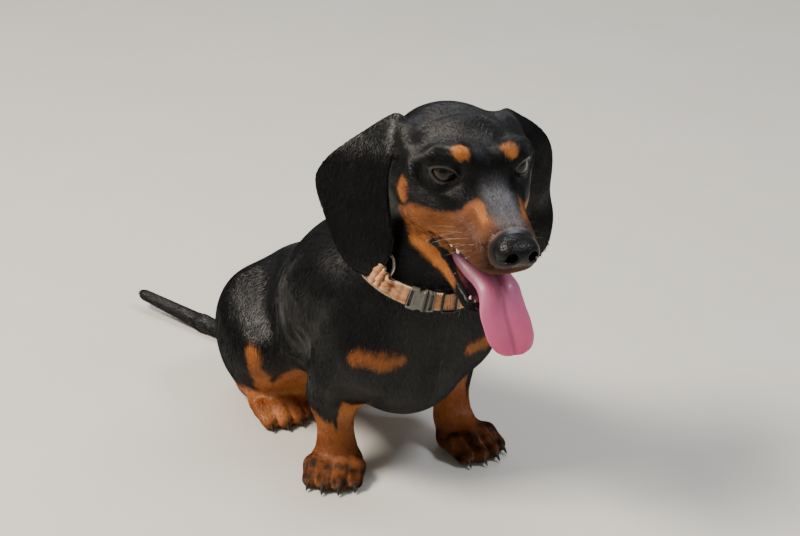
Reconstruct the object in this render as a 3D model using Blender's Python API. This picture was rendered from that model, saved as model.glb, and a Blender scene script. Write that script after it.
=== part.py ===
"""A sitting dachshund puppy with a webbing collar, life size, as a still model in solid parts.

Metres, Z up. The dog faces -Y and its left side is +X. Its flesh is one smooth volume made of
blended masses; thin flat gaps part it into the pieces that a person would name.
"""

import bmesh
import bpy
import numpy as np
from mathutils import Matrix, Vector

# Driving dimensions
GAP = 0.0003
HEAD_SCALE = 1.03
HEAD_AT = (0.0156, -0.1100, 0.2208)
HEAD_TURN = (7.5, 8.9, 3.0)  # degrees to its right, down, and towards its left ear
SKULL_HALF = 0.0385
JAW_OPEN = 30.0
EYE_RADIUS = 0.0098
EYE_AT = (0.0208, 0.0198, 0.0136)
EYE_SLIT = (0.0146, 0.0074)
LID = 0.0013
EAR_AT = (0.040, -0.012, 0.030)
EAR_FLARE = {1: 48.0, -1: 45.0}
EAR_HALF = 0.0016
EAR_LEAN = {1: 0.012, -1: 0.023}  # how far the tip stands out from plumb
EAR_WAVE = {1: 0.0026, -1: 0.0}  # how far it bends in halfway down
COLLAR_AT = (0.0105, -0.0855, 0.1600)
COLLAR_TILT = 24.0
STRAP = (0.0104, 0.0016)  # width and thickness of the webbing
PAW_HALF = 0.0122

BODY_STEP = 0.0023
HEAD_STEP = 0.00135
PAW_STEP = 0.0016

REAL = np.float32


def vec(*c):
    return np.array(c, REAL)


def turned(rx=0.0, ry=0.0, rz=0.0):
    """The matrix of turns in degrees about X, then Y, then Z."""
    a, b, c = np.radians([rx, ry, rz])
    about_x = np.array([[1, 0, 0], [0, np.cos(a), -np.sin(a)], [0, np.sin(a), np.cos(a)]])
    about_y = np.array([[np.cos(b), 0, np.sin(b)], [0, 1, 0], [-np.sin(b), 0, np.cos(b)]])
    about_z = np.array([[np.cos(c), -np.sin(c), 0], [np.sin(c), np.cos(c), 0], [0, 0, 1]])
    return (about_z @ about_y @ about_x).astype(REAL)


# Masses: each gives the distance of points p to its surface, negative inside.


def ball(p, c, r):
    return np.sqrt(((p - vec(*c)) ** 2).sum(-1)) - REAL(r)


def egg(p, c, r, turn=None):
    """An ellipsoid with half-axes r."""
    q = p - vec(*c)
    if turn is not None:
        q = q @ turn
    q = q / vec(*r)
    k0 = np.sqrt((q * q).sum(-1)) + REAL(1e-9)
    q = q / vec(*r)
    k1 = np.sqrt((q * q).sum(-1)) + REAL(1e-9)
    return k0 * (k0 - 1) / k1


def limb(p, a, b, ra, rb):
    """A tapered rod with round ends."""
    a, b = vec(*a), vec(*b)
    ab = b - a
    q = p - a
    h = np.clip(q @ ab / (ab @ ab), 0, 1)
    return np.sqrt(((q - h[..., None] * ab) ** 2).sum(-1)) - (REAL(ra) + REAL(rb - ra) * h)


def join(a, b, k):
    """The union, with a fillet about as wide as k."""
    h = np.maximum(k - np.abs(a - b), 0) / k
    return np.minimum(a, b) - h * h * REAL(k * 0.25)


def carve(a, b, k):
    """a without b, with the edge rounded over k."""
    return -join(-a, b, k)


def chain(p, points, radii, k):
    """Rods in a row, blended where they meet."""
    d = None
    for a, b, ra, rb in zip(points, points[1:], radii, radii[1:]):
        rod = limb(p, a, b, ra, rb)
        d = rod if d is None else join(d, rod, k)
    return d


def mirrored(p):
    """Both sides folded onto the left one."""
    m = p.copy()
    m[..., 0] = np.abs(m[..., 0])
    return m


def stations(t, at, values):
    """A smooth curve through values at the stations, level beyond the ends."""
    at, values = np.asarray(at, float), np.asarray(values, float)
    t = np.clip(t, at[0], at[-1])
    i = np.clip(np.searchsorted(at, t) - 1, 0, len(at) - 2)
    slope = np.gradient(values, at)
    h = at[i + 1] - at[i]
    s = (t - at[i]) / h
    low = (2 * s**3 - 3 * s**2 + 1) * values[i] + (s**3 - 2 * s**2 + s) * h * slope[i]
    high = (3 * s**2 - 2 * s**3) * values[i + 1] + (s**3 - s**2) * h * slope[i + 1]
    return (low + high).astype(REAL)


# Trunk, neck, legs and tail


# The hollow behind the arm, from the shoulder down to the flank
FLANK_HOLLOW = [(0.0535, -0.0700, 0.1330), (0.0575, -0.0630, 0.1215), (0.0600, -0.0530, 0.1090),
                (0.0612, -0.0420, 0.0960), (0.0620, -0.0280, 0.0840), (0.0595, -0.0160, 0.0720),
                (0.0560, -0.0120, 0.0560)]
FLANK_HOLLOW_RADII = [0.0020, 0.0030, 0.0040, 0.0052, 0.0075, 0.0100, 0.0100]


def trunk(p):
    d = egg(p, (0, 0.066, 0.048), (0.044, 0.045, 0.050))
    d = join(d, limb(p, (0, 0.052, 0.064), (0, 0.000, 0.092), 0.046, 0.048), 0.03)
    d = join(d, egg(p, (0, -0.040, 0.098), (0.043, 0.062, 0.051), turned(rx=-38)), 0.045)
    d = join(d, egg(p, (0, -0.076, 0.092), (0.038, 0.034, 0.041)), 0.025)
    d = join(d, limb(p, (0, -0.064, 0.0725), (0, -0.045, 0.0675), 0.020, 0.019), 0.03)
    m = mirrored(p)
    d = join(d, egg(m, (0.034, -0.052, 0.108), (0.018, 0.030, 0.038), turned(rx=-28, ry=12)), 0.025)
    d = join(d, limb(m, (0.034, -0.082, 0.096), (0.040, -0.054, 0.078), 0.0215, 0.0185), 0.016)
    return carve(d, chain(m, FLANK_HOLLOW, FLANK_HOLLOW_RADII, 0.004), 0.012)


def neck(p):
    d = limb(p, (0, -0.032, 0.120), (0.008, -0.078, 0.146), 0.043, 0.038)
    return join(d, limb(p, (0.008, -0.078, 0.146), (0.0150, -0.092, 0.196), 0.038, 0.032), 0.03)


def toe_lines(wrist, toe):
    """For each toe its root, knuckle and tip, on a paw that points from the wrist to toe."""
    start, end = np.array(wrist[:2]), np.array(toe)
    ahead = (end - start) / np.hypot(*(end - start))
    side = np.array([-ahead[1], ahead[0]])
    side = side if side[0] > 0 else -side
    back = end - ahead * 0.036

    def at(a, b, z):
        return (*(back + ahead * a + side * b), z)

    toes = []
    for across, reach in ((-1, 0), (-0.352, 0.0042), (0.352, 0.0042), (1, 0)):
        b = across * PAW_HALF
        root = at(0.008, b * 0.8, 0.0095)
        knuckle = at(0.019 + reach, b * 1.12, 0.0105)
        tip = at(0.0300 + reach, b * 1.165, 0.0058)
        toes.append((root, knuckle, tip))
    pads = at(0.014, 0, 0.011), at(0.006, -0.006, 0.009), at(0.006, 0.006, 0.009)
    return toes, pads


def paw(q, wrist, toe):
    toes, (middle, pad_a, pad_b) = toe_lines(wrist, toe)
    d = limb(q, (wrist[0], wrist[1], wrist[2] - 0.004), middle, 0.0115, 0.0112)
    d = join(d, limb(q, pad_a, pad_b, 0.010, 0.010), 0.006)
    foot = None
    for root, knuckle, tip in toes:
        one = limb(q, root, knuckle, 0.0068, 0.0064)
        one = join(one, limb(q, knuckle, tip, 0.0064, 0.0056), 0.003)
        foot = one if foot is None else join(foot, one, 0.0018)
    return join(d, foot, 0.004)


# Elbow, wrist and toe of each foreleg, and heel, pastern and toe of the hind legs, on the left side
FORELEG = {
    1: ((0.0470, -0.045, 0.056), (0.0440, -0.056, 0.023), (0.050, -0.091)),
    -1: ((0.0410, -0.046, 0.056), (0.0430, -0.053, 0.023), (0.059, -0.075)),
}
ARM = {1: (0.0440, -0.060, 0.078), -1: (0.0385, -0.060, 0.078)}
HIP, KNEE, HEEL = (0.028, 0.066, 0.062), (0.048, 0.030, 0.058), (0.043, 0.068, 0.013)
PASTERN, HIND_TOE = (0.041, 0.050, 0.014), (0.040, 0.016)
TAIL = [(0, 0.090, 0.022), (-0.004, 0.108, 0.0125), (-0.012, 0.138, 0.0066), (-0.028, 0.184, 0.0064),
        (-0.050, 0.243, 0.0115)]
TAIL_RADII = [0.015, 0.0090, 0.0074, 0.0062, 0.0044]


def sided(p, side):
    q = p.copy()
    q[..., 0] *= side
    return q


def foreleg(p, side):
    q = sided(p, side)
    elbow, wrist, toe = FORELEG[side]
    d = limb(q, ARM[side], elbow, 0.0205, 0.0158)
    d = join(d, limb(q, elbow, wrist, 0.0158, 0.0112), 0.010)
    return join(d, paw(q, wrist, toe), 0.008)


def hindleg(p, side):
    q = sided(p, side)
    d = egg(q, (0.0348, 0.0665, 0.0505), (0.0330, 0.0485, 0.0465), turned(rx=-24, rz=8))
    d = join(d, limb(q, HIP, KNEE, 0.030, 0.0175), 0.016)
    d = join(d, limb(q, KNEE, HEEL, 0.0155, 0.0100), 0.008)
    d = join(d, limb(q, HEEL, (0.042, 0.046, 0.012), 0.0100, 0.0105), 0.006)
    return join(d, paw(q, PASTERN, HIND_TOE), 0.006)


def body(p):
    d = join(trunk(p), neck(p), 0.04)
    for side in (1, -1):
        d = join(d, foreleg(p, side), 0.010)
        d = join(d, hindleg(p, side), 0.010)
    return join(d, chain(p, TAIL, TAIL_RADII, 0.004), 0.010)


# Head, in its own axes: X to its left, Y forward along the skull, Z up


def head_axes():
    yaw, pitch, roll = np.radians(HEAD_TURN)
    ahead = np.array([-np.sin(yaw) * np.cos(pitch), -np.cos(yaw) * np.cos(pitch), -np.sin(pitch)])
    left = np.array([np.cos(yaw), -np.sin(yaw), 0])
    up = np.cross(ahead, left)
    up = up if up[2] > 0 else -up
    tilted_left = left * np.cos(roll) - up * np.sin(roll)
    tilted_up = up * np.cos(roll) + left * np.sin(roll)
    return np.stack([tilted_left, ahead, tilted_up], 1)


HEAD_AXES = head_axes().astype(REAL)


def in_head(p):
    return (p - vec(*HEAD_AT)) @ HEAD_AXES / REAL(HEAD_SCALE)


def from_head(q):
    return np.asarray(q, float) @ HEAD_AXES.T * HEAD_SCALE + np.array(HEAD_AT)


def cranium(q):
    m = mirrored(q)
    d = egg(q, (0, -0.013, 0.0000), (SKULL_HALF, 0.044, 0.0318))
    d = join(d, egg(q, (0, 0.010, 0.0070), (0.0300, 0.025, 0.0225)), 0.012)
    # cheek bones and jaw muscles
    d = join(d, egg(m, (0.0245, 0.000, -0.012), (0.0145, 0.027, 0.0165)), 0.014)
    d = join(d, egg(m, (0.0215, -0.018, -0.022), (0.0150, 0.020, 0.0155)), 0.012)
    # the rim over and behind each eye
    rim = [(0.0335, 0.0060, 0.0000), (0.0330, 0.0105, 0.0130), (0.0270, 0.0185, 0.0215),
           (0.0165, 0.0255, 0.0235), (0.0100, 0.0290, 0.0190)]
    radii = [0.0050, 0.0042, 0.0036, 0.0034, 0.0040]
    for a, b, ra, rb in zip(rim, rim[1:], radii, radii[1:]):
        d = join(d, limb(m, a, b, ra, rb), 0.010)
    return join(d, egg(m, (0.0330, -0.0120, 0.0180), (0.0062, 0.0130, 0.0085)), 0.012)


MUZZLE_AT = [0.000, 0.018, 0.030, 0.042, 0.055, 0.068, 0.076, 0.082]
MUZZLE_TOP = [0.026, 0.0225, 0.0165, 0.0115, 0.0070, 0.0030, 0.0010, -0.0020]
MUZZLE_LIP = [-0.031, -0.0330, -0.0350, -0.0350, -0.0330, -0.0300, -0.0278, -0.0245]
MUZZLE_HALF = [0.031, 0.0290, 0.0260, 0.0222, 0.0190, 0.0172, 0.0160, 0.0138]
MUZZLE_ROUND = 0.068


def muzzle(q):
    """A rounded section carried forward, its end drawn in over the last stretch."""
    top, lip, half = (stations(q[..., 1], MUZZLE_AT, v) for v in (MUZZLE_TOP, MUZZLE_LIP, MUZZLE_HALF))
    middle, tall = (top + lip) / 2, (top - lip) / 2
    power = 2.35
    k = ((np.abs(q[..., 0]) / half) ** power + (np.abs(q[..., 2] - middle) / tall) ** power) ** (1 / power)
    least = np.minimum(half, tall)
    past = np.maximum(q[..., 1] - MUZZLE_ROUND, 0)
    d = np.where(past > 0, np.sqrt((k * least) ** 2 + (past * 1.05) ** 2) - least, (k - 1) * least)
    return np.maximum(d, -q[..., 1] - 0.002)


JAW_HINGE = (0, -0.012, -0.016)
JAW_AT = [-0.01, 0.01, 0.03, 0.05, 0.066]
JAW_HALF = [0.0275, 0.0262, 0.0205, 0.0152, 0.0118]
JAW_LOW = [-0.042, -0.0400, -0.0365, -0.0330, -0.0315]
JAW_TOP = [-0.020, -0.0215, -0.0220, -0.0215, -0.0205]
JAW_ROUND = 0.062


def in_jaw(q):
    """Places on the closed jaw, with its swing about the hinge undone."""
    a = np.radians(JAW_OPEN)
    r = q - vec(*JAW_HINGE)
    ahead = r[..., 1] * np.cos(a) - r[..., 2] * np.sin(a)
    up = r[..., 1] * np.sin(a) + r[..., 2] * np.cos(a)
    return np.stack([r[..., 0], ahead, up], -1).astype(REAL) + vec(*JAW_HINGE)


def from_jaw(j):
    a = np.radians(JAW_OPEN)
    r = np.asarray(j, float) - np.array(JAW_HINGE)
    ahead = r[..., 1] * np.cos(a) + r[..., 2] * np.sin(a)
    up = -r[..., 1] * np.sin(a) + r[..., 2] * np.cos(a)
    return np.stack([r[..., 0], ahead, up], -1) + np.array(JAW_HINGE)


def lower_jaw(q):
    j = in_jaw(q)
    half, low, top = (stations(j[..., 1], JAW_AT, v) for v in (JAW_HALF, JAW_LOW, JAW_TOP))
    middle, tall = (top + low) / 2, (top - low) / 2
    least = np.minimum(half, tall)
    k = ((np.abs(j[..., 0]) / half) ** 2.4 + (np.abs(j[..., 2] - middle) / tall) ** 2.4) ** (1 / 2.4)
    past = np.maximum(j[..., 1] - JAW_ROUND, 0)
    d = np.sqrt((k * least) ** 2 + (past * 0.72) ** 2) - least
    return np.maximum(d, -j[..., 1] - 0.012)


def mouth_hollow(q):
    """The palate between the upper lips, and the trough of the lower jaw."""
    half = stations(q[..., 1], MUZZLE_AT, MUZZLE_HALF) - REAL(0.0050)
    lip = stations(q[..., 1], MUZZLE_AT, MUZZLE_LIP)
    palate = (np.sqrt((q[..., 0] / half) ** 2 + ((q[..., 2] - lip) / 0.0105) ** 2) - 1) * 0.0105
    palate = np.maximum(palate, np.maximum(0.016 - q[..., 1], q[..., 1] - 0.0715))
    j = in_jaw(q)
    half = stations(j[..., 1], JAW_AT, JAW_HALF) - REAL(0.0042)
    trough = (np.sqrt((j[..., 0] / half) ** 2 + ((j[..., 2] + 0.0200) / 0.0055) ** 2) - 1) * 0.0055
    trough = np.maximum(trough, np.maximum(0.016 - j[..., 1], j[..., 1] - 0.0640))
    return np.minimum(palate, trough)


SIGHT = np.array([0.50, 0.84, 0.06])
SIGHT = SIGHT / np.linalg.norm(SIGHT)


def eye_slit(m):
    """The almond between the lids, a lens of two arcs seen along the sight."""
    across = np.array([0.80, -0.50, 0.10])
    across = across - SIGHT * (across @ SIGHT)
    across /= np.linalg.norm(across)
    up = np.cross(across, SIGHT)
    up = up if up[2] > 0 else -up
    r = m - vec(*EYE_AT)
    a, b, out = (r @ w.astype(REAL) for w in (across, up, SIGHT))
    w, h = EYE_SLIT[0] / 2, EYE_SLIT[1] / 2
    arc = (w * w + h * h) / (2 * h)
    lens = np.maximum(np.sqrt(a**2 + (b + (arc - h)) ** 2), np.sqrt(a**2 + (b - (arc - h)) ** 2)) - arc
    return np.maximum(lens, 0.003 - out)


def head(p):
    q = in_head(p)
    m = mirrored(q)
    d = join(cranium(q), muzzle(q), 0.012)
    # the whisker bed over the hanging lip
    d = join(d, egg(m, (0.0110, 0.0580, -0.0180), (0.0078, 0.0190, 0.0105)), 0.006)
    d = join(d, lower_jaw(q), 0.006)
    d = carve(d, mouth_hollow(q), 0.002)
    # the hollow of the eye, the lids round the ball, and the slit
    d = carve(d, egg(m, (0.0285, 0.0300, 0.0130), (0.0120, 0.0120, 0.0070), turned(rz=-30)), 0.006)
    d = join(d, ball(m, EYE_AT, EYE_RADIUS + LID), 0.0045)
    d = carve(d, eye_slit(m), 0.0012)
    return d * REAL(HEAD_SCALE)


def nose(p):
    q = in_head(p)
    m = mirrored(q)
    d = egg(q, (0, 0.0765, -0.0088), (0.0120, 0.0125, 0.0088), turned(rx=8))
    d = join(d, egg(m, (0.0068, 0.0800, -0.0100), (0.0060, 0.0078, 0.0072)), 0.004)
    # nostrils, their side slits and the groove between them
    d = carve(d, limb(m, (0.0052, 0.0920, -0.0080), (0.0062, 0.0840, -0.0082), 0.0021, 0.0024), 0.0012)
    d = carve(d, limb(m, (0.0075, 0.0885, -0.0105), (0.0132, 0.0820, -0.0120), 0.0009, 0.0008), 0.0012)
    d = carve(d, limb(q, (0, 0.0900, -0.0100), (0, 0.0870, -0.0170), 0.0006, 0.0006), 0.0015)
    return d * REAL(HEAD_SCALE)


# Tongue: centre line, half-width and half-thickness, from the floor of the mouth to the tip
TONGUE = [(0.000, 0.006, -0.0400), (0.002, 0.020, -0.0445), (0.004, 0.036, -0.0480),
          (0.0056, 0.047, -0.0485),
          (0.0062, 0.0545, -0.0500), (0.0060, 0.0600, -0.0540), (0.0060, 0.0642, -0.0595),
          (0.0075, 0.0680, -0.0660), (0.0095, 0.0715, -0.0740), (0.0110, 0.0745, -0.0805),
          (0.0113, 0.0757, -0.0835)]
TONGUE_HALF = [0.0110, 0.0130, 0.0132, 0.0130, 0.0134, 0.0140, 0.0148, 0.0155, 0.0150, 0.0112, 0.0058]
TONGUE_THICK = [0.0050, 0.0054, 0.0054, 0.0050, 0.0044, 0.0036, 0.0030, 0.0027, 0.0024, 0.0020, 0.0014]

# Ear flap: its outline, across from the front edge and down from the root
EAR_OUTLINE = {
    1: [(-0.002, 0.009), (0.004, 0.002), (0.0165, 0.011), (0.0385, 0.0300), (0.0505, 0.044),
        (0.0545, 0.0525), (0.050, 0.063), (0.0445, 0.075), (0.040, 0.086), (0.0325, 0.0975),
        (0.0215, 0.1040), (0.0115, 0.1045), (0.0035, 0.098), (-0.0013, 0.087), (-0.0025, 0.075),
        (0.000, 0.058), (0.003, 0.038), (0.002, 0.024)],
    -1: [(-0.002, 0.007), (0.0045, -0.001), (0.0170, 0.0060), (0.0405, 0.0225), (0.0515, 0.0365),
         (0.0525, 0.047), (0.0455, 0.060), (0.0375, 0.0745), (0.0305, 0.084), (0.0235, 0.0915),
         (0.0165, 0.0955), (0.010, 0.096), (0.0038, 0.0915), (-0.0008, 0.083), (-0.0025, 0.073),
         (0.000, 0.057), (0.003, 0.038), (0.002, 0.024)],
}
EAR_SIZE = (0.050, 0.100)


def closed_curve(points, count):
    """A smooth closed curve through the points."""
    p = np.asarray(points, float)
    t = np.arange(count) * len(p) / count
    i = t.astype(int)
    s = (t - i)[:, None]
    a, b, c, d = (p[(i + k) % len(p)] for k in (-1, 0, 1, 2))
    return 0.5 * (2 * b + (c - a) * s + (2 * a - 5 * b + 4 * c - d) * s**2 + (3 * b - a - 3 * c + d) * s**3)


def outline_distance(x, y, ring):
    """Signed distance to a closed outline in its plane."""
    d = np.full(x.shape, 9e9, REAL)
    inside = np.zeros(x.shape, bool)
    for a, b in zip(ring, np.roll(ring, -1, 0)):
        e = b - a
        h = np.clip(((x - a[0]) * e[0] + (y - a[1]) * e[1]) / (e @ e), 0, 1)
        d = np.minimum(d, (x - a[0] - e[0] * h) ** 2 + (y - a[1] - e[1] * h) ** 2)
        if a[1] != b[1]:
            crosses = (a[1] > y) != (b[1] > y)
            inside ^= crosses & (x < a[0] + (y - a[1]) * e[0] / e[1])
    d = np.sqrt(d)
    return np.where(inside, -d, d)


EAR_RING = {side: closed_curve(EAR_OUTLINE[side], 42) for side in (1, -1)}


def ear(p, side):
    """A thin flap hung plumb from the skull, its rear edge flared out."""
    root = from_head([EAR_AT[0] * side, EAR_AT[1], EAR_AT[2]])
    yaw, flare = np.radians(HEAD_TURN[0]), np.radians(EAR_FLARE[side])
    back = np.array([np.sin(yaw), np.cos(yaw), 0])
    out = np.array([np.cos(yaw), -np.sin(yaw), 0]) * side
    across = back * np.cos(flare) + out * np.sin(flare)
    normal = out * np.cos(flare) - back * np.sin(flare)
    r = p - root.astype(REAL)
    s, t, n = r @ across.astype(REAL), -r[..., 2], r @ normal.astype(REAL)
    u, w = s / EAR_SIZE[0], np.maximum(t, 0) / EAR_SIZE[1]
    # the root turns in to the skull, the flap bows out and its tip curls back
    bow = -0.012 * np.exp(-(((t + 0.002) / 0.015) ** 2)) + EAR_LEAN[side] * w
    bow -= 0.0065 * (u - 0.5) ** 2 * 4 * np.sqrt(w)
    bow += 0.0030 * np.exp(-(((s + 0.002) / 0.006) ** 2)) * np.exp(-(((t - 0.045) / 0.03) ** 2))
    bow -= 0.064 * np.clip(w - 0.75, 0, 1) ** 2 + EAR_WAVE[side] * np.exp(-(((t - 0.069) / 0.012) ** 2))
    edge = np.maximum(outline_distance(s, t, EAR_RING[side]) + EAR_HALF, 0)
    return (np.sqrt(edge**2 + ((n - bow) * 0.93) ** 2) - EAR_HALF).astype(REAL)


def flesh(p):
    """Body and head as one, without ears, eyes, nose and tongue."""
    d = body(p)
    middle = np.array(HEAD_AT) + np.array([-0.003, -0.020, -0.010])
    reach = ball(p, middle, 0.105)
    close = reach < 0
    if close.any():
        d[close] = join(d[close], head(p[close]), 0.010)
    return d


# Meshes


def touching(inside):
    """Grid points to fill in so that no two bodies meet along a bare edge."""
    filled = inside.copy()
    for _ in range(6):
        before = filled.sum()
        for axis in range(3):
            f = np.moveaxis(filled, axis, 0)
            a, b, c, d = f[:, :-1, :-1], f[:, 1:, :-1], f[:, :-1, 1:], f[:, 1:, 1:]
            crossed = (a == d) & (b == c) & (a != b)
            f[:, :-1, :-1] |= crossed
            f[:, 1:, :-1] |= crossed
        cell = [filled[i : i - 1 or None, j : j - 1 or None, k : k - 1 or None]
                for i in (0, 1) for j in (0, 1) for k in (0, 1)]
        count = sum(c.astype(np.int8) for c in cell)
        bare = np.zeros(count.shape, bool)
        for c in range(4):
            bare |= (cell[c] == cell[7 - c]) & (count == np.where(cell[c], 2, 6))
        for c in cell:
            c |= bare
        if filled.sum() == before:
            break
    return filled


def surface_net(field, low, high, step):
    """The zero surface of the field in a box.

    Each crossed cell gets a vertex and each crossed edge a face of four.
    """
    axes = [np.arange(a, b + step, step, dtype=REAL) for a, b in zip(low, high)]
    layers = []
    for x in axes[0]:
        y, z = np.meshgrid(axes[1], axes[2], indexing="ij")
        layers.append(field(np.stack([np.full_like(y, x), y, z], -1)))
    d = np.stack(layers)
    for axis in range(3):
        # the box is closed, so that the surface is too
        edge = [slice(None)] * 3
        for end in (0, -1):
            edge[axis] = end
            d[tuple(edge)] = np.maximum(d[tuple(edge)], step * 0.01)
    inside = (d < 0) | touching(d < 0)
    d = np.where(inside & (d >= 0), REAL(-step * 0.02), d)
    cells = tuple(n - 1 for n in d.shape)
    corner = {}
    for i in (0, 1):
        for j in (0, 1):
            for k in (0, 1):
                corner[i, j, k] = (slice(i, i + cells[0]), slice(j, j + cells[1]), slice(k, k + cells[2]))
    count = sum(inside[c].astype(np.int8) for c in corner.values())
    mixed = (count > 0) & (count < 8)
    number = np.full(cells, -1)
    number[mixed] = np.arange(mixed.sum())
    place = np.zeros((mixed.sum(), 3))
    crossings = np.zeros(mixed.sum())
    for axis in range(3):
        for first, c in corner.items():
            if first[axis]:
                continue
            second = tuple(v + (k == axis) for k, v in enumerate(first))
            a, b = d[c][mixed], d[corner[second]][mixed]
            cut = (a < 0) != (b < 0)
            t = np.where(cut, a / np.where(cut, a - b, 1), 0)
            spot = np.array(first, float)[None].repeat(len(a), 0)
            spot[:, axis] += t
            place += spot * cut[:, None]
            crossings += cut
    place /= crossings[:, None]
    cell = np.argwhere(mixed)
    points = np.array(low) + (cell + place) * step
    quads = []
    for axis in range(3):
        u, v = (axis + 1) % 3, (axis + 2) % 3
        a = np.moveaxis(inside, axis, 0)
        cut = a[:-1] != a[1:]
        leaving = a[:-1]
        cut = np.moveaxis(cut, 0, axis)
        leaving = np.moveaxis(leaving, 0, axis)
        at = np.argwhere(cut)
        at = at[(at[:, u] > 0) & (at[:, v] > 0) & (at[:, u] < d.shape[u] - 1) & (at[:, v] < d.shape[v] - 1)]
        out = leaving[tuple(at.T)]
        ring = []
        for du, dv in ((-1, -1), (0, -1), (0, 0), (-1, 0)):
            c = at.copy()
            c[:, u] += du
            c[:, v] += dv
            ring.append(number[tuple(c.T)])
        ring = np.stack(ring, 1)
        quads.append(np.where(out[:, None], ring, ring[:, ::-1]))
    return points, np.concatenate(quads)


def new_object(name, points, faces):
    mesh = bpy.data.meshes.new(name)
    mesh.from_pydata([tuple(p) for p in points], [], [tuple(int(i) for i in f) for f in faces])
    mesh.validate()
    obj = bpy.data.objects.new(name, mesh)
    bpy.context.scene.collection.objects.link(obj)
    return obj


def outward(obj):
    """Every face turned to look out."""
    work = bmesh.new()
    work.from_mesh(obj.data)
    bmesh.ops.recalc_face_normals(work, faces=work.faces)
    work.to_mesh(obj.data)
    work.free()
    return obj


def settle(obj):
    """Turns the modifiers into the mesh itself."""
    shaped = obj.evaluated_get(bpy.context.evaluated_depsgraph_get())
    mesh = bpy.data.meshes.new_from_object(shaped)
    obj.modifiers.clear()
    old = obj.data
    obj.data = mesh
    bpy.data.meshes.remove(old)
    return obj


def reduced(obj, triangles):
    """Triangles merged where the surface is flattest, down to the given number."""
    now = sum(len(f.vertices) - 2 for f in obj.data.polygons)
    if now > triangles:
        modifier = obj.modifiers.new("Fewer", "DECIMATE")
        modifier.ratio = triangles / now
        settle(obj)
    return obj


def combined(obj, other, operation, solver="EXACT"):
    modifier = obj.modifiers.new("Combine", "BOOLEAN")
    modifier.operation = operation
    modifier.solver = solver
    modifier.object = other
    settle(obj)
    remove(other)
    return obj


def remove(obj):
    mesh = obj.data
    bpy.data.objects.remove(obj)
    bpy.data.meshes.remove(mesh)


def swollen(obj, by):
    """A copy with each vertex moved out along its normal."""
    mesh = obj.data.copy()
    copy = bpy.data.objects.new(obj.name + "_room", mesh)
    bpy.context.scene.collection.objects.link(copy)
    work = bmesh.new()
    work.from_mesh(mesh)
    work.normal_update()
    for v in work.verts:
        v.co += v.normal * by
    work.to_mesh(mesh)
    work.free()
    return copy


def block(low, high):
    low, high = Vector(low), Vector(high)
    mesh = bpy.data.meshes.new("block")
    work = bmesh.new()
    bmesh.ops.create_cube(work, size=1.0)
    for v in work.verts:
        v.co = Vector((low[i] if v.co[i] < 0 else high[i] for i in range(3)))
    work.to_mesh(mesh)
    work.free()
    obj = bpy.data.objects.new("block", mesh)
    bpy.context.scene.collection.objects.link(obj)
    return obj


# Parting the flesh: each piece is taken out by a plain solid, and the rest is cut back by the gap


def prism(outline, low, high, place):
    """A solid whose outline, seen along its own X, is carried from low to high.

    place maps its points to the dog.
    """
    n = len(outline)
    points = [place((x, *c)) for x in (low, high) for c in outline]
    faces = [list(range(n)), list(reversed(range(n, 2 * n)))]
    faces += [[i, i + n, (i + 1) % n + n, (i + 1) % n] for i in range(n)]
    return outward(new_object("prism", points, faces))


def beyond(at, normal, start=0.0):
    """All that lies further than start past a plane whose normal has no X."""
    n = np.array(normal) / np.linalg.norm(normal)
    along = np.array([0, -n[2], n[1]])
    first = np.array(at) + n * start
    corners = [first + along * 0.5, first - along * 0.5, first - along * 0.5 + n, first + along * 0.5 + n]
    return prism([(c[1], c[2]) for c in corners], -0.5, 0.5, lambda c: c)


def tilted(deg):
    """The direction of a line that leans from upright towards the front."""
    a = np.radians(deg)
    return np.array([0, -np.sin(a), np.cos(a)])


COLLAR_UP = tilted(COLLAR_TILT)
COLLAR_FRONT = np.array([0, -COLLAR_UP[2], COLLAR_UP[1]])
NAPE_AT, NAPE_UP = np.array([0.0145, -0.0835, 0.1815]), np.array([0, -0.636, 0.771])
FOREPAW_ROOM = ((0.012, -0.140, -0.020), (0.100, -0.028, 0.0250))
HINDPAW_ROOM = ((0.0200, -0.030, -0.020), (0.080, 0.0470, 0.0245))
FORELEG_ROOM = ((0.0255, -0.098, 0.010), (0.100, -0.0186, 0.0720))
TAIL_ROOM = ((-0.080, 0.1095, -0.020), (0.040, 0.300, 0.0330))
HAUNCH_AT, HAUNCH_RADIUS, HAUNCH_IN = (0.0620, 0.0520), 0.0580, 0.0270
MOUTH_CORNER, MOUTH_SLOPE, JAW_SLOPE = (0.016, -0.033), -13.0, -141.8


def grown(room, by, side):
    """A block on one side of the body, larger all round by the given amount."""
    (x0, y0, z0), (x1, y1, z1) = room
    xs = sorted((side * (x0 - by), side * (x1 + by)))
    return block((xs[0], y0 - by, z0 - by), (xs[1], y1 + by, z1 + by))


def haunch_room(by, side):
    angles = np.radians(np.arange(0, 360, 15.0))
    (y, z), r = HAUNCH_AT, (HAUNCH_RADIUS + by)
    ring = [(y + r * np.cos(a), z + r * np.sin(a)) for a in angles]
    xs = sorted((side * (HAUNCH_IN - by), side * 0.120))
    return prism(ring, *xs, lambda c: c)


def jaw_room(by):
    """The wedge between the mouth's line and a cut from its corner back to the throat."""
    first, second = (np.array([np.cos(a), np.sin(a)]) for a in np.radians([MOUTH_SLOPE, JAW_SLOPE]))
    middle = (first + second) / np.linalg.norm(first + second)
    half = np.arccos(first @ second) / 2
    corner = np.array(MOUTH_CORNER) - middle * by / np.sin(half)
    ring = [corner, corner + first * 0.11, corner + middle * 0.16, corner + second * 0.11]
    return prism(ring, -0.07, 0.07, from_head)


def copied(obj):
    copy = bpy.data.objects.new(obj.name, obj.data.copy())
    bpy.context.scene.collection.objects.link(copy)
    return copy


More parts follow.
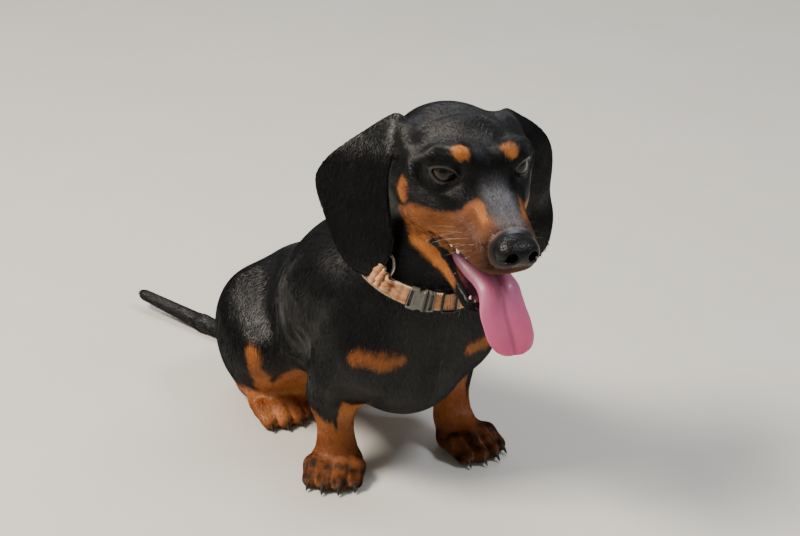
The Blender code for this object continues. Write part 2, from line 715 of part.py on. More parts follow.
def islands(obj):
    """The closed bodies of a mesh, each as its points and faces."""
    mesh = obj.data
    parent = np.arange(len(mesh.vertices))

    def top(i):
        while parent[i] != i:
            parent[i] = parent[parent[i]]
            i = parent[i]
        return i

    for edge in mesh.edges:
        a, b = top(edge.vertices[0]), top(edge.vertices[1])
        parent[a] = b
    label = np.array([top(i) for i in range(len(parent))])
    points = np.array([v.co for v in mesh.vertices])
    found = []
    for k in np.unique(label):
        mine = np.nonzero(label == k)[0]
        place = {int(v): i for i, v in enumerate(mine)}
        faces = [[place[v] for v in f.vertices] for f in mesh.polygons if label[f.vertices[0]] == k]
        if len(faces) > 3:
            found.append((points[mine], faces))
    return found


def largest(obj):
    """Keeps the biggest closed body of a mesh."""
    found = islands(obj)
    if len(found) > 1:
        points, faces = max(found, key=lambda one: len(one[1]))
        whole = new_object(obj.name, points, faces)
        remove(obj)
        obj = whole
    return obj


def taken(obj, room, grown_room):
    """The part of obj in a room, and obj without it and without the gap round it."""
    piece = combined(copied(obj), room, "INTERSECT")
    return largest(piece), largest(combined(obj, grown_room, "DIFFERENCE"))


def box_distance(p, low, high):
    middle, half = (np.array(low) + high) / 2, (np.array(high) - low) / 2
    q = np.abs(p - middle.astype(REAL)) - half.astype(REAL)
    return q.max(-1)


def body_flesh(p):
    """The flesh without the head and the paws, but for a margin that the cuts take off."""
    d = np.maximum(flesh(p), (p - NAPE_AT.astype(REAL)) @ NAPE_UP.astype(REAL) - REAL(0.004))
    m = mirrored(p)
    for low, high in (FOREPAW_ROOM, HINDPAW_ROOM):
        margin = np.array([0.004 if i == 2 else 0.0 for i in range(3)])
        margin[1] = 0.004 if high[1] > 0 else 0.0
        d = np.maximum(d, -box_distance(m, low, np.array(high) - margin))
    return d


# Claws and teeth


def spike(points, radii, sides=6):
    """A pointed solid along points, closed at the thick end."""
    points = [Vector(p) for p in points]
    rings, faces = [], []
    for i, (at, r) in enumerate(zip(points[:-1], radii)):
        way = (points[i + 1] - at).normalized()
        turn = way.to_track_quat("Z", "Y").to_matrix()
        for k in range(sides):
            a = 2 * np.pi * k / sides
            rings.append(at + turn @ Vector((r * np.cos(a), r * np.sin(a), 0)))
    for i in range(len(points) - 2):
        for k in range(sides):
            a, b = i * sides + k, i * sides + (k + 1) % sides
            faces.append([a, b, b + sides, a + sides])
    rings.append(points[-1])
    last = (len(points) - 2) * sides
    faces += [[last + k, last + (k + 1) % sides, len(rings) - 1] for k in range(sides)]
    faces.append([k for k in reversed(range(sides))])
    return rings, faces


def gathered(solids, name):
    """Several closed solids in one mesh."""
    points, faces = [], []
    for p, f in solids:
        faces += [[i + len(points) for i in face] for face in f]
        points += [tuple(v) for v in p]
    return outward(new_object(name, points, faces))


CLAW = (0.0080, 0.0017)


def claws(wrist, toe, side):
    """A short curved claw from the end of each toe, and a dewclaw on a forepaw."""
    toes, _ = toe_lines(wrist, toe)
    solids = []
    for root, knuckle, tip in toes:
        root, knuckle, tip = (Vector((c[0] * side, c[1], c[2])) for c in (root, knuckle, tip))
        ahead = tip - root
        ahead.z = 0
        ahead.normalize()
        start = tip + ahead * 0.0022 + Vector((0, 0, 0.0008))
        middle = start + ahead * CLAW[0] * 0.55 + Vector((0, 0, -0.0010))
        end = start + ahead * CLAW[0] * 0.92 + Vector((0, 0, -0.0050))
        end.z = max(end.z, 0.0006)
        solids.append(spike([start, middle, end], [CLAW[1], CLAW[1] * 0.72]))
    return solids


UPPER_TEETH = [(0.0118, 0.0640, 0.0042), (0.0135, 0.0555, 0.0024), (0.0148, 0.0480, 0.0026),
               (0.0165, 0.0395, 0.0030), (0.0052, 0.0692, 0.0024)]
LOWER_TEETH = [(0.0080, 0.0610, 0.0040), (0.0100, 0.0520, 0.0022), (0.0118, 0.0440, 0.0024),
               (0.0138, 0.0350, 0.0028), (0.0030, 0.0645, 0.0020)]


def upper_teeth():
    solids = []
    for side in (1, -1):
        for x, y, tall in UPPER_TEETH:
            lip = float(stations(np.array([y]), MUZZLE_AT, MUZZLE_LIP)[0])
            half = float(stations(np.array([y]), MUZZLE_AT, MUZZLE_HALF)[0]) - 0.0050
            roof = 0.0105 * np.sqrt(max(1 - (x / half) ** 2, 0.09))
            base = from_head([x * side, y, lip + max(roof + 0.0025, 0.0075)])
            neck_of = from_head([x * side, y, lip + 0.0045])
            tip = from_head([x * side * 0.98, y + 0.0006, lip + 0.0050 - tall])
            solids.append(spike([base, neck_of, tip], [0.0016, 0.0014]))
    return solids


def lower_teeth():
    solids = []
    for side in (1, -1):
        for x, y, tall in LOWER_TEETH:
            top = float(stations(np.array([y]), JAW_AT, JAW_TOP)[0])
            line = [[x * side, y, top - 0.0050], [x * side, y, top - 0.0024],
                    [x * side, y + 0.0006, top - 0.0030 + tall * 0.9]]
            solids.append(spike([from_head(from_jaw(c)) for c in line], [0.0015, 0.0013]))
    return solids


def tongue_solid(around=14):
    """Flat oval sections along the centre line, with a shallow groove down the upper side."""
    line = np.array(TONGUE)
    way = np.gradient(line, axis=0)
    way /= np.linalg.norm(way, axis=1, keepdims=True)
    points, faces = [], []
    for at, along, half, thick in zip(line, way, TONGUE_HALF, TONGUE_THICK):
        up = np.array([0, -along[2], along[1]])
        up /= np.linalg.norm(up)
        for k in range(around):
            a = 2 * np.pi * k / around
            x = np.sign(np.cos(a)) * abs(np.cos(a)) ** 0.85 * half
            z = np.sin(a) * thick
            if z > 0:
                z -= 0.0008 * np.exp(-((x / 0.0025) ** 2))
            points.append(from_head(at + np.array([x, 0, 0]) + up * z))
    for i in range(len(line) - 1):
        for k in range(around):
            a, b = i * around + k, i * around + (k + 1) % around
            faces.append([b, a, a + around, b + around])
    first, last = from_head(line[0] - way[0] * 0.003), from_head(line[-1] + way[-1] * 0.0008)
    points += [first, last]
    n = len(points)
    faces += [[k, (k + 1) % around, n - 2] for k in range(around)]
    start = (len(line) - 1) * around
    faces += [[start + (k + 1) % around, start + k, n - 1] for k in range(around)]
    return points, faces


# Collar


def neck_radius(angle, height):
    """How far the flesh reaches from the collar's middle, at an angle from its front towards the left."""
    angle, height = np.broadcast_arrays(np.asarray(angle, float), np.asarray(height, float))
    way = np.cos(angle)[..., None] * COLLAR_FRONT + np.sin(angle)[..., None] * np.array([1.0, 0, 0])
    start = np.array(COLLAR_AT) + height[..., None] * COLLAR_UP
    low, high = np.full(angle.shape, 0.010), np.full(angle.shape, 0.090)
    for _ in range(22):
        middle = (low + high) / 2
        inside = flesh((start + way * middle[..., None]).astype(REAL)) < 0
        low, high = np.where(inside, middle, low), np.where(inside, high, middle)
    return low


FIT = 0.0006
RING = np.radians(np.arange(0, 360, 5.0))


def collar_fit():
    """The strap's inner radius at its lower and upper edge, smoothed round the neck."""
    rows = np.stack([neck_radius(RING, h) for h in (-STRAP[0] / 2, 0, STRAP[0] / 2)])
    for _ in range(4):
        rows = np.maximum(rows, (np.roll(rows, 1, 1) + np.roll(rows, -1, 1)) / 2)
    low, middle, high = rows
    out = np.maximum(middle - (low + high) / 2, 0)
    return low + out + FIT, high + out + FIT


LOW_FIT, HIGH_FIT = collar_fit()


def on_collar(angle, height, out):
    """A place by its angle in degrees, its height along the neck and its distance out."""
    a = np.radians(angle)
    at = np.mod(a, 2 * np.pi)
    low = np.interp(at, np.append(RING, 2 * np.pi), np.append(LOW_FIT, LOW_FIT[0]))
    high = np.interp(at, np.append(RING, 2 * np.pi), np.append(HIGH_FIT, HIGH_FIT[0]))
    u = height / STRAP[0] + 0.5
    r = low + (high - low) * u
    slope = (high - low) / STRAP[0]
    length = np.sqrt(1 + slope**2)
    way = np.cos(a) * COLLAR_FRONT + np.sin(a) * np.array([1.0, 0, 0])
    return np.array(COLLAR_AT) + way * (r + out / length) + COLLAR_UP * (height - out * slope / length)


def swept(sections, closed):
    """Quads between equal rings of points; the ends are closed unless the ring of rings is."""
    n = len(sections[0])
    points = [p for s in sections for p in s]
    faces = []
    for i in range(len(sections) - (0 if closed else 1)):
        j = (i + 1) % len(sections)
        for k in range(n):
            m = (k + 1) % n
            faces.append([i * n + k, i * n + m, j * n + m, j * n + k])
    if not closed:
        faces.append([k for k in reversed(range(n))])
        faces.append([(len(sections) - 1) * n + k for k in range(n)])
    return points, faces


BUCKLE = (-47.5, -28.0)  # from the end of the socket to the end of the plug, as angles
BUCKLE_SIZE = (0.0126, 0.0050)  # height and thickness
SPLIT = -34.5


def strap_solid():
    """The webbing from one side of the buckle round the neck to the other."""
    sections = []
    for angle in np.linspace(BUCKLE[1] + 0.6, 360 + BUCKLE[0] - 0.6, 58):
        ring = [(-1, 0), (-1, 1), (1, 1), (1, 0)]
        sections.append([on_collar(angle, h * STRAP[0] / 2, t * STRAP[1]) for h, t in ring])
    return swept(sections, False)


def bent_box(start, end, height, out, thick, steps=5, taper=1.0):
    """A block that follows the neck from one angle to another."""
    sections = []
    for i, angle in enumerate(np.linspace(start, end, steps)):
        h = height / 2 * (1 + (taper - 1) * i / (steps - 1))
        bevel = thick * 0.28
        low, top = out + bevel, out + thick
        outline = [(-h, low), (-h, top - bevel), (-h + bevel, top), (h - bevel, top),
                   (h, top - bevel), (h, low), (h - bevel, out), (-h + bevel, out)]
        sections.append([on_collar(angle, a, b) for a, b in outline])
    return swept(sections, False)


def fold_solid():
    """The loose end of the webbing, folded over itself beside the buckle."""
    path = np.array([(-77, 0.0060, 0.0048), (-75, 0.0076, 0.0048), (-69, 0.0076, 0.0040),
                     (-62, 0.0070, 0.0026), (-55, 0.0050, 0.0010), (-49, 0.0028, 0)])
    sections = []
    for i, (angle, out, sway) in enumerate(path):
        ahead = path[min(i + 1, len(path) - 1)] - path[max(i - 1, 0)]
        arc = np.array([np.radians(ahead[0]) * 0.046, ahead[1]])
        arc /= np.linalg.norm(arc)
        ring = []
        for h, t in ((-1, -1), (-1, 1), (1, 1), (1, -1)):
            a = angle - np.degrees(arc[1] * t * 0.0009 / 0.046)
            ring.append(on_collar(a, h * STRAP[0] * 0.48 + sway, out + arc[0] * t * 0.0009))
        sections.append(ring)
    return swept(sections, False)


WIRE = 0.0010


def ring_solid(sides=6):
    """A D of wire that stands up from the strap on the right side of the neck."""
    path = [(-76 + np.degrees(np.cos(a) * 0.0078 / 0.046), 0.0085 + 0.0078 * np.sin(a))
            for a in np.radians(np.linspace(0, 180, 11))]
    path += [(-76 + np.degrees(x / 0.046), h) for x, h in ((-0.0076, 0.0030), (-0.0060, 0.0014), (0, 0.0012),
                                                          (0.0060, 0.0014), (0.0076, 0.0030))]
    centre = [on_collar(a, h, STRAP[1] + WIRE + 0.0004) for a, h in path]
    middle = sum(centre) / len(centre)
    face = np.cross(centre[0] - middle, centre[5] - middle)
    face /= np.linalg.norm(face)
    sections = []
    for i, c in enumerate(centre):
        along = centre[(i + 1) % len(centre)] - centre[i - 1]
        along /= np.linalg.norm(along)
        side = np.cross(along, face)
        side /= np.linalg.norm(side)
        up = np.cross(side, along)
        angles = 2 * np.pi * np.arange(sides) / sides
        sections.append([c + WIRE * (side * np.cos(t) + up * np.sin(t)) for t in angles])
    return swept(sections, True)


# Finishes: colour, roughness and metallic
FINISH = {
    "black_coat": ((0.012, 0.012, 0.014), 0.42, 0.0),
    "tan_coat": ((0.42, 0.14, 0.035), 0.5, 0.0),
    "eye": ((0.06, 0.03, 0.012), 0.08, 0.0),
    "nose_leather": ((0.015, 0.015, 0.017), 0.35, 0.0),
    "tongue": ((0.62, 0.20, 0.27), 0.35, 0.0),
    "webbing": ((0.62, 0.36, 0.22), 0.8, 0.0),
    "grey_plastic": ((0.24, 0.24, 0.22), 0.45, 0.0),
    "dark_metal": ((0.10, 0.10, 0.11), 0.3, 1.0),
    "wire": ((0.55, 0.55, 0.56), 0.25, 1.0),
}


def finished(obj, finish):
    colour, roughness, metallic = FINISH[finish]
    material = bpy.data.materials.get(finish) or bpy.data.materials.new(finish)
    material.use_nodes = True
    shader = material.node_tree.nodes["Principled BSDF"]
    shader.inputs["Base Color"].default_value = (*colour, 1)
    shader.inputs["Roughness"].default_value = roughness
    shader.inputs["Metallic"].default_value = metallic
    obj.data.materials.clear()
    obj.data.materials.append(material)
    return obj


# Building

BODY_BOX = (-0.085, -0.150, -0.004), (0.085, 0.260, 0.2130)
HEAD_BOX = (-0.058, -0.206, 0.118), (0.086, -0.030, 0.270)


def floored(obj):
    return combined(obj, block((-0.5, -0.5, -0.1), (0.5, 0.5, 0)), "DIFFERENCE")


def called(obj, name, finish):
    obj.name = name
    obj.data.name = name
    for face in obj.data.polygons:
        face.use_smooth = True
    return finished(obj, finish)


def meshed(name, field, box, step, triangles):
    return reduced(new_object(name, *surface_net(field, *box, step)), triangles)


def side_name(name, side):
    return name + ("_left" if side > 0 else "_right")


def build_body():
    flesh_mesh = floored(meshed("torso", body_flesh, BODY_BOX, BODY_STEP, 4000))
    above, from_below = (beyond(COLLAR_AT, COLLAR_UP, by) for by in (GAP / 2, -GAP / 2))
    upper, rest = taken(flesh_mesh, above, from_below)
    upper = combined(upper, beyond(NAPE_AT, NAPE_UP, -GAP / 2), "DIFFERENCE")
    called(largest(upper), "neck", "black_coat")
    tail, rest = taken(rest, block(*TAIL_ROOM), grown(TAIL_ROOM, GAP, 1))
    called(tail, "tail", "black_coat")
    for side in (1, -1):
        for room in (FOREPAW_ROOM, HINDPAW_ROOM):
            rest = largest(combined(rest, grown(room, 0, side), "DIFFERENCE"))
        leg, rest = taken(rest, grown(FORELEG_ROOM, 0, side), grown(FORELEG_ROOM, GAP, side))
        called(leg, side_name("foreleg", side), "tan_coat")
        leg, rest = taken(rest, haunch_room(0, side), haunch_room(GAP, side))
        called(leg, side_name("hindleg", side), "black_coat")
    called(rest, "torso", "black_coat")


def build_paws():
    for side in (1, -1):
        for name, room, joint, toe in (("forepaw", FOREPAW_ROOM, FORELEG[side][1], FORELEG[side][2]),
                                       ("hindpaw", HINDPAW_ROOM, PASTERN, HIND_TOE)):
            (x0, y0, z0), (x1, y1, z1) = room
            low = (x0, toe[1] - 0.020, -0.004)
            high = (0.080, y1 + 0.003, z1 + 0.003)
            xs = sorted((side * low[0], side * high[0]))
            box = (xs[0], low[1], low[2]), (xs[1], high[1], high[2])
            paw_mesh = meshed(name, flesh, box, PAW_STEP, 620 if name == "forepaw" else 520)
            nails = gathered(claws(joint, toe, side), "claws")
            paw_mesh = floored(combined(paw_mesh, nails, "UNION"))
            inner = grown(((x0, -0.2, z0), (x1, y1 - GAP, z1 - GAP)), 0, side)
            paw_mesh = largest(combined(paw_mesh, inner, "INTERSECT"))
            called(paw_mesh, side_name(name, side), "tan_coat")


def eyeball(side, by):
    """The ball of an eye, with more facets round the pupil's axis."""
    mesh = bpy.data.meshes.new("eye")
    work = bmesh.new()
    radius = EYE_RADIUS * HEAD_SCALE + by
    bmesh.ops.create_uvsphere(work, u_segments=18, v_segments=10, radius=radius)
    sight = Vector(HEAD_AXES.astype(float) @ (SIGHT * np.array([side, 1, 1])))
    work.transform(sight.to_track_quat("Z", "Y").to_matrix().to_4x4())
    centre = from_head(np.array(EYE_AT) * np.array([side, 1, 1]))
    work.transform(Matrix.Translation(Vector(centre)))
    work.to_mesh(mesh)
    work.free()
    obj = bpy.data.objects.new("eye", mesh)
    bpy.context.scene.collection.objects.link(obj)
    return obj


def build_head():
    whole = meshed("head", flesh, HEAD_BOX, HEAD_STEP, 3100)
    whole = largest(combined(whole, beyond(NAPE_AT, -NAPE_UP, -GAP / 2), "DIFFERENCE"))
    parts = {}
    root = {side: from_head([EAR_AT[0] * side, EAR_AT[1], EAR_AT[2]]) for side in (1, -1)}
    for side in (1, -1):
        c = root[side]
        xs = sorted((c[0] - side * 0.018, c[0] + side * 0.070))
        box = (xs[0], c[1] - 0.030, c[2] - 0.108), (xs[1], c[1] + 0.062, c[2] + 0.006)
        parts[side_name("ear", side)] = meshed("ear", lambda p: ear(p, side), box, 0.0016, 460), "black_coat"
        parts[side_name("eye", side)] = eyeball(side, 0), "eye"
        combined(whole, eyeball(side, GAP), "DIFFERENCE")
    c = from_head([0, 0.080, -0.010])
    box = tuple(c - 0.024), tuple(c + 0.024)
    parts["nose"] = meshed("nose", nose, box, 0.0011, 420), "nose_leather"
    parts["tongue"] = outward(new_object("tongue", *tongue_solid())), "tongue"
    jaw, skull = taken(whole, jaw_room(0), jaw_room(GAP))
    for tooth in upper_teeth():
        # the exact solver loses the skull on some of these small cones
        skull = combined(skull, gathered([tooth], "tooth"), "UNION", "MANIFOLD")
    for tooth in lower_teeth():
        jaw = combined(jaw, gathered([tooth], "tooth"), "UNION", "MANIFOLD")
    for name, (obj, finish) in parts.items():
        if not name.startswith("eye"):
            combined(skull, swollen(obj, GAP), "DIFFERENCE")
        if name in ("tongue",):
            combined(jaw, swollen(obj, GAP), "DIFFERENCE")
    for name, (obj, finish) in parts.items():
        called(obj, name, finish)
    called(largest(jaw), "lower_jaw", "black_coat")
    called(largest(skull), "head", "black_coat")


def build_collar():
    tall, thick = BUCKLE_SIZE
    pieces = [("collar_band", strap_solid(), "webbing"), ("collar_fold", fold_solid(), "webbing"),
              ("buckle_socket", bent_box(BUCKLE[0], SPLIT - 0.2, tall, 0, thick), "grey_plastic"),
              ("buckle_plug", bent_box(SPLIT + 0.2, BUCKLE[1], tall, 0, thick, taper=0.9), "grey_plastic"),
              ("strap_slider", bent_box(-22, -9, tall, STRAP[1] + 0.0003, 0.0014), "dark_metal"),
              ("collar_ring", ring_solid(), "wire")]
    for name, (points, faces), finish in pieces:
        obj = outward(new_object(name, points, faces))
        if name == "collar_fold":
            # the ear hangs over its upper edge
            obj = largest(combined(obj, swollen(bpy.data.objects["ear_right"], GAP), "DIFFERENCE"))
            obj.name = name
        finished(obj, finish)


def grounded():
    """The middle of the whole model's box, at floor level, becomes the origin."""
    solids = [o for o in bpy.data.objects if o.type == "MESH"]
    points = np.concatenate([np.array([v.co for v in o.data.vertices]) for o in solids])
    low, high = points.min(0), points.max(0)
    shift = Vector((-(low[0] + high[0]) / 2, -(low[1] + high[1]) / 2, -low[2]))
    for obj in solids:
        obj.data.transform(Matrix.Translation(shift))


for start in list(bpy.data.objects):
    bpy.data.objects.remove(start)
build_body()
build_paws()
build_head()
build_collar()
grounded()
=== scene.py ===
"""A black and tan dachshund puppy, sitting with its mouth open: a still, life-size model as a museum shows."""
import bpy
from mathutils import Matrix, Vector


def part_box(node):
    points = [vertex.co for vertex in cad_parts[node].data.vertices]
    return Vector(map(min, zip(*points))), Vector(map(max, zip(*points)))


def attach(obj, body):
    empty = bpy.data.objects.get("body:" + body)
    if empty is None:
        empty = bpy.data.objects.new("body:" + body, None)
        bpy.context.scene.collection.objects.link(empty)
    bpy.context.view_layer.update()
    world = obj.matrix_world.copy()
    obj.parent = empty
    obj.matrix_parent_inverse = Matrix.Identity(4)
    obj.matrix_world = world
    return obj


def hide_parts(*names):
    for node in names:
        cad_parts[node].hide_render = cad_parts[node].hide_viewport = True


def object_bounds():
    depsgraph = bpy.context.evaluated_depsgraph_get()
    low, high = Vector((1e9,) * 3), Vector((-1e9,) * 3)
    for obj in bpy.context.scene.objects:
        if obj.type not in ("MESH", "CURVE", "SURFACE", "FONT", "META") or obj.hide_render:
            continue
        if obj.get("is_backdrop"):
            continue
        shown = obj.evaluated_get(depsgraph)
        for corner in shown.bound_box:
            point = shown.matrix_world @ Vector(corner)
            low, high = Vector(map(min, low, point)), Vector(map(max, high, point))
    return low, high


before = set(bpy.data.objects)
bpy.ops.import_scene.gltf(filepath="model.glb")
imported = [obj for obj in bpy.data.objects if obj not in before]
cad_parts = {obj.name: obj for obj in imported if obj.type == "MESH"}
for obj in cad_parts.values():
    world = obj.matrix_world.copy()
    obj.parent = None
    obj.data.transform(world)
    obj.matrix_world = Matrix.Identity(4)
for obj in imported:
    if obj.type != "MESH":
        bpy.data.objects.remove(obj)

from concurrent.futures import ThreadPoolExecutor

import bmesh
import bpy
import numpy as np
from mathutils import Matrix, Vector

cad_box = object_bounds()

# The dog's form
# A living body with no hard edges: every mass is a smooth solid of its own, blended into the next. One formula
# gives the distance from any place to the flesh, and the skin, the coat, the lids and the lips all follow it.
# Driving dimensions
GAP = 0.0003
HEAD_SCALE = 1.03
HEAD_AT = (0.0156, -0.1100, 0.2208)
HEAD_TURN = (7.5, 8.9, 3.0)  # degrees to its right, down, and towards its left ear
SKULL_HALF = 0.0385
JAW_OPEN = 30.0
EYE_RADIUS = 0.0098
EYE_AT = (0.0208, 0.0198, 0.0136)
EYE_SLIT = (0.0146, 0.0074)
LID = 0.0013
EAR_AT = (0.040, -0.012, 0.030)
EAR_FLARE = {1: 48.0, -1: 45.0}
EAR_HALF = 0.0016
EAR_LEAN = {1: 0.012, -1: 0.023}  # how far the tip stands out from plumb
EAR_WAVE = {1: 0.0026, -1: 0.0}  # how far it bends in halfway down
COLLAR_AT = (0.0105, -0.0855, 0.1600)
COLLAR_TILT = 24.0
STRAP = (0.0104, 0.0016)  # width and thickness of the webbing
PAW_HALF = 0.0122


REAL = np.float32


def vec(*c):
    return np.array(c, REAL)


def turned(rx=0.0, ry=0.0, rz=0.0):
    """The matrix of turns in degrees about X, then Y, then Z."""
    a, b, c = np.radians([rx, ry, rz])
    about_x = np.array([[1, 0, 0], [0, np.cos(a), -np.sin(a)], [0, np.sin(a), np.cos(a)]])
    about_y = np.array([[np.cos(b), 0, np.sin(b)], [0, 1, 0], [-np.sin(b), 0, np.cos(b)]])
    about_z = np.array([[np.cos(c), -np.sin(c), 0], [np.sin(c), np.cos(c), 0], [0, 0, 1]])
    return (about_z @ about_y @ about_x).astype(REAL)


# Masses: each gives the distance of points p to its surface, negative inside.


def ball(p, c, r):
    return np.sqrt(((p - vec(*c)) ** 2).sum(-1)) - REAL(r)


def egg(p, c, r, turn=None):
    """An ellipsoid with half-axes r."""
    q = p - vec(*c)
    if turn is not None:
        q = q @ turn
    q = q / vec(*r)
    k0 = np.sqrt((q * q).sum(-1)) + REAL(1e-9)
    q = q / vec(*r)
    k1 = np.sqrt((q * q).sum(-1)) + REAL(1e-9)
    return k0 * (k0 - 1) / k1


def limb(p, a, b, ra, rb):
    """A tapered rod with round ends."""
    a, b = vec(*a), vec(*b)
    ab = b - a
    q = p - a
    h = np.clip(q @ ab / (ab @ ab), 0, 1)
    return np.sqrt(((q - h[..., None] * ab) ** 2).sum(-1)) - (REAL(ra) + REAL(rb - ra) * h)


def join(a, b, k):
    """The union, with a fillet about as wide as k."""
    h = np.maximum(k - np.abs(a - b), 0) / k
    return np.minimum(a, b) - h * h * REAL(k * 0.25)


def carve(a, b, k):
    """a without b, with the edge rounded over k."""
    return -join(-a, b, k)


def chain(p, points, radii, k):
    """Rods in a row, blended where they meet."""
    d = None
    for a, b, ra, rb in zip(points, points[1:], radii, radii[1:]):
        rod = limb(p, a, b, ra, rb)
        d = rod if d is None else join(d, rod, k)
    return d


def mirrored(p):
    """Both sides folded onto the left one."""
    m = p.copy()
    m[..., 0] = np.abs(m[..., 0])
    return m


def stations(t, at, values):
    """A smooth curve through values at the stations, level beyond the ends."""
    at, values = np.asarray(at, float), np.asarray(values, float)
    t = np.clip(t, at[0], at[-1])
    i = np.clip(np.searchsorted(at, t) - 1, 0, len(at) - 2)
    slope = np.gradient(values, at)
    h = at[i + 1] - at[i]
    s = (t - at[i]) / h
    low = (2 * s**3 - 3 * s**2 + 1) * values[i] + (s**3 - 2 * s**2 + s) * h * slope[i]
    high = (3 * s**2 - 2 * s**3) * values[i + 1] + (s**3 - s**2) * h * slope[i + 1]
    return (low + high).astype(REAL)


# Trunk, neck, legs and tail


# The hollow behind the arm, from the shoulder down to the flank
FLANK_HOLLOW = [(0.0535, -0.0700, 0.1330), (0.0575, -0.0630, 0.1215), (0.0600, -0.0530, 0.1090),
                (0.0612, -0.0420, 0.0960), (0.0620, -0.0280, 0.0840), (0.0595, -0.0160, 0.0720),
                (0.0560, -0.0120, 0.0560)]
FLANK_HOLLOW_RADII = [0.0020, 0.0030, 0.0040, 0.0052, 0.0075, 0.0100, 0.0100]


def trunk(p):
    d = egg(p, (0, 0.066, 0.048), (0.044, 0.045, 0.050))
    d = join(d, limb(p, (0, 0.052, 0.064), (0, 0.000, 0.092), 0.046, 0.048), 0.03)
    d = join(d, egg(p, (0, -0.040, 0.098), (0.043, 0.062, 0.051), turned(rx=-38)), 0.045)
    d = join(d, egg(p, (0, -0.076, 0.092), (0.038, 0.034, 0.041)), 0.025)
    d = join(d, limb(p, (0, -0.064, 0.0725), (0, -0.045, 0.0675), 0.020, 0.019), 0.03)
    m = mirrored(p)
    d = join(d, egg(m, (0.034, -0.052, 0.108), (0.018, 0.030, 0.038), turned(rx=-28, ry=12)), 0.025)
    d = join(d, limb(m, (0.034, -0.082, 0.096), (0.040, -0.054, 0.078), 0.0215, 0.0185), 0.016)
    return carve(d, chain(m, FLANK_HOLLOW, FLANK_HOLLOW_RADII, 0.004), 0.012)


def neck(p):
    d = limb(p, (0, -0.032, 0.120), (0.008, -0.078, 0.146), 0.043, 0.038)
    return join(d, limb(p, (0.008, -0.078, 0.146), (0.0150, -0.092, 0.196), 0.038, 0.032), 0.03)


def toe_lines(wrist, toe):
    """For each toe its root, knuckle and tip, on a paw that points from the wrist to toe."""
    start, end = np.array(wrist[:2]), np.array(toe)
    ahead = (end - start) / np.hypot(*(end - start))
    side = np.array([-ahead[1], ahead[0]])
    side = side if side[0] > 0 else -side
    back = end - ahead * 0.036

    def at(a, b, z):
        return (*(back + ahead * a + side * b), z)

    toes = []
    for across, reach in ((-1, 0), (-0.352, 0.0042), (0.352, 0.0042), (1, 0)):
        b = across * PAW_HALF
        root = at(0.008, b * 0.8, 0.0095)
        knuckle = at(0.019 + reach, b * 1.12, 0.0105)
        tip = at(0.0300 + reach, b * 1.165, 0.0058)
        toes.append((root, knuckle, tip))
    pads = at(0.014, 0, 0.011), at(0.006, -0.006, 0.009), at(0.006, 0.006, 0.009)
    return toes, pads


def paw(q, wrist, toe):
    toes, (middle, pad_a, pad_b) = toe_lines(wrist, toe)
    d = limb(q, (wrist[0], wrist[1], wrist[2] - 0.004), middle, 0.0115, 0.0112)
    d = join(d, limb(q, pad_a, pad_b, 0.010, 0.010), 0.006)
    foot = None
    for root, knuckle, tip in toes:
        one = limb(q, root, knuckle, 0.0068, 0.0064)
        one = join(one, limb(q, knuckle, tip, 0.0064, 0.0056), 0.003)
        foot = one if foot is None else join(foot, one, 0.0018)
    return join(d, foot, 0.004)


# Elbow, wrist and toe of each foreleg, and heel, pastern and toe of the hind legs, on the left side
FORELEG = {
    1: ((0.0470, -0.045, 0.056), (0.0440, -0.056, 0.023), (0.050, -0.091)),
    -1: ((0.0410, -0.046, 0.056), (0.0430, -0.053, 0.023), (0.059, -0.075)),
}
ARM = {1: (0.0440, -0.060, 0.078), -1: (0.0385, -0.060, 0.078)}
HIP, KNEE, HEEL = (0.028, 0.066, 0.062), (0.048, 0.030, 0.058), (0.043, 0.068, 0.013)
PASTERN, HIND_TOE = (0.041, 0.050, 0.014), (0.040, 0.016)
TAIL = [(0, 0.090, 0.022), (-0.004, 0.108, 0.0125), (-0.012, 0.138, 0.0066), (-0.028, 0.184, 0.0064),
        (-0.050, 0.243, 0.0115)]
TAIL_RADII = [0.015, 0.0090, 0.0074, 0.0062, 0.0044]


def sided(p, side):
    q = p.copy()
    q[..., 0] *= side
    return q


def foreleg(p, side):
    q = sided(p, side)
    elbow, wrist, toe = FORELEG[side]
    d = limb(q, ARM[side], elbow, 0.0205, 0.0158)
    d = join(d, limb(q, elbow, wrist, 0.0158, 0.0112), 0.010)
    return join(d, paw(q, wrist, toe), 0.008)


def hindleg(p, side):
    q = sided(p, side)
    d = egg(q, (0.0348, 0.0665, 0.0505), (0.0330, 0.0485, 0.0465), turned(rx=-24, rz=8))
    d = join(d, limb(q, HIP, KNEE, 0.030, 0.0175), 0.016)
    d = join(d, limb(q, KNEE, HEEL, 0.0155, 0.0100), 0.008)
    d = join(d, limb(q, HEEL, (0.042, 0.046, 0.012), 0.0100, 0.0105), 0.006)
    return join(d, paw(q, PASTERN, HIND_TOE), 0.006)


def body(p):
    d = join(trunk(p), neck(p), 0.04)
    for side in (1, -1):
        d = join(d, foreleg(p, side), 0.010)
        d = join(d, hindleg(p, side), 0.010)
    return join(d, chain(p, TAIL, TAIL_RADII, 0.004), 0.010)


# Head, in its own axes: X to its left, Y forward along the skull, Z up


def head_axes():
    yaw, pitch, roll = np.radians(HEAD_TURN)
    ahead = np.array([-np.sin(yaw) * np.cos(pitch), -np.cos(yaw) * np.cos(pitch), -np.sin(pitch)])
    left = np.array([np.cos(yaw), -np.sin(yaw), 0])
    up = np.cross(ahead, left)
    up = up if up[2] > 0 else -up
    tilted_left = left * np.cos(roll) - up * np.sin(roll)
    tilted_up = up * np.cos(roll) + left * np.sin(roll)
    return np.stack([tilted_left, ahead, tilted_up], 1)


HEAD_AXES = head_axes().astype(REAL)


def in_head(p):
    return (p - vec(*HEAD_AT)) @ HEAD_AXES / REAL(HEAD_SCALE)


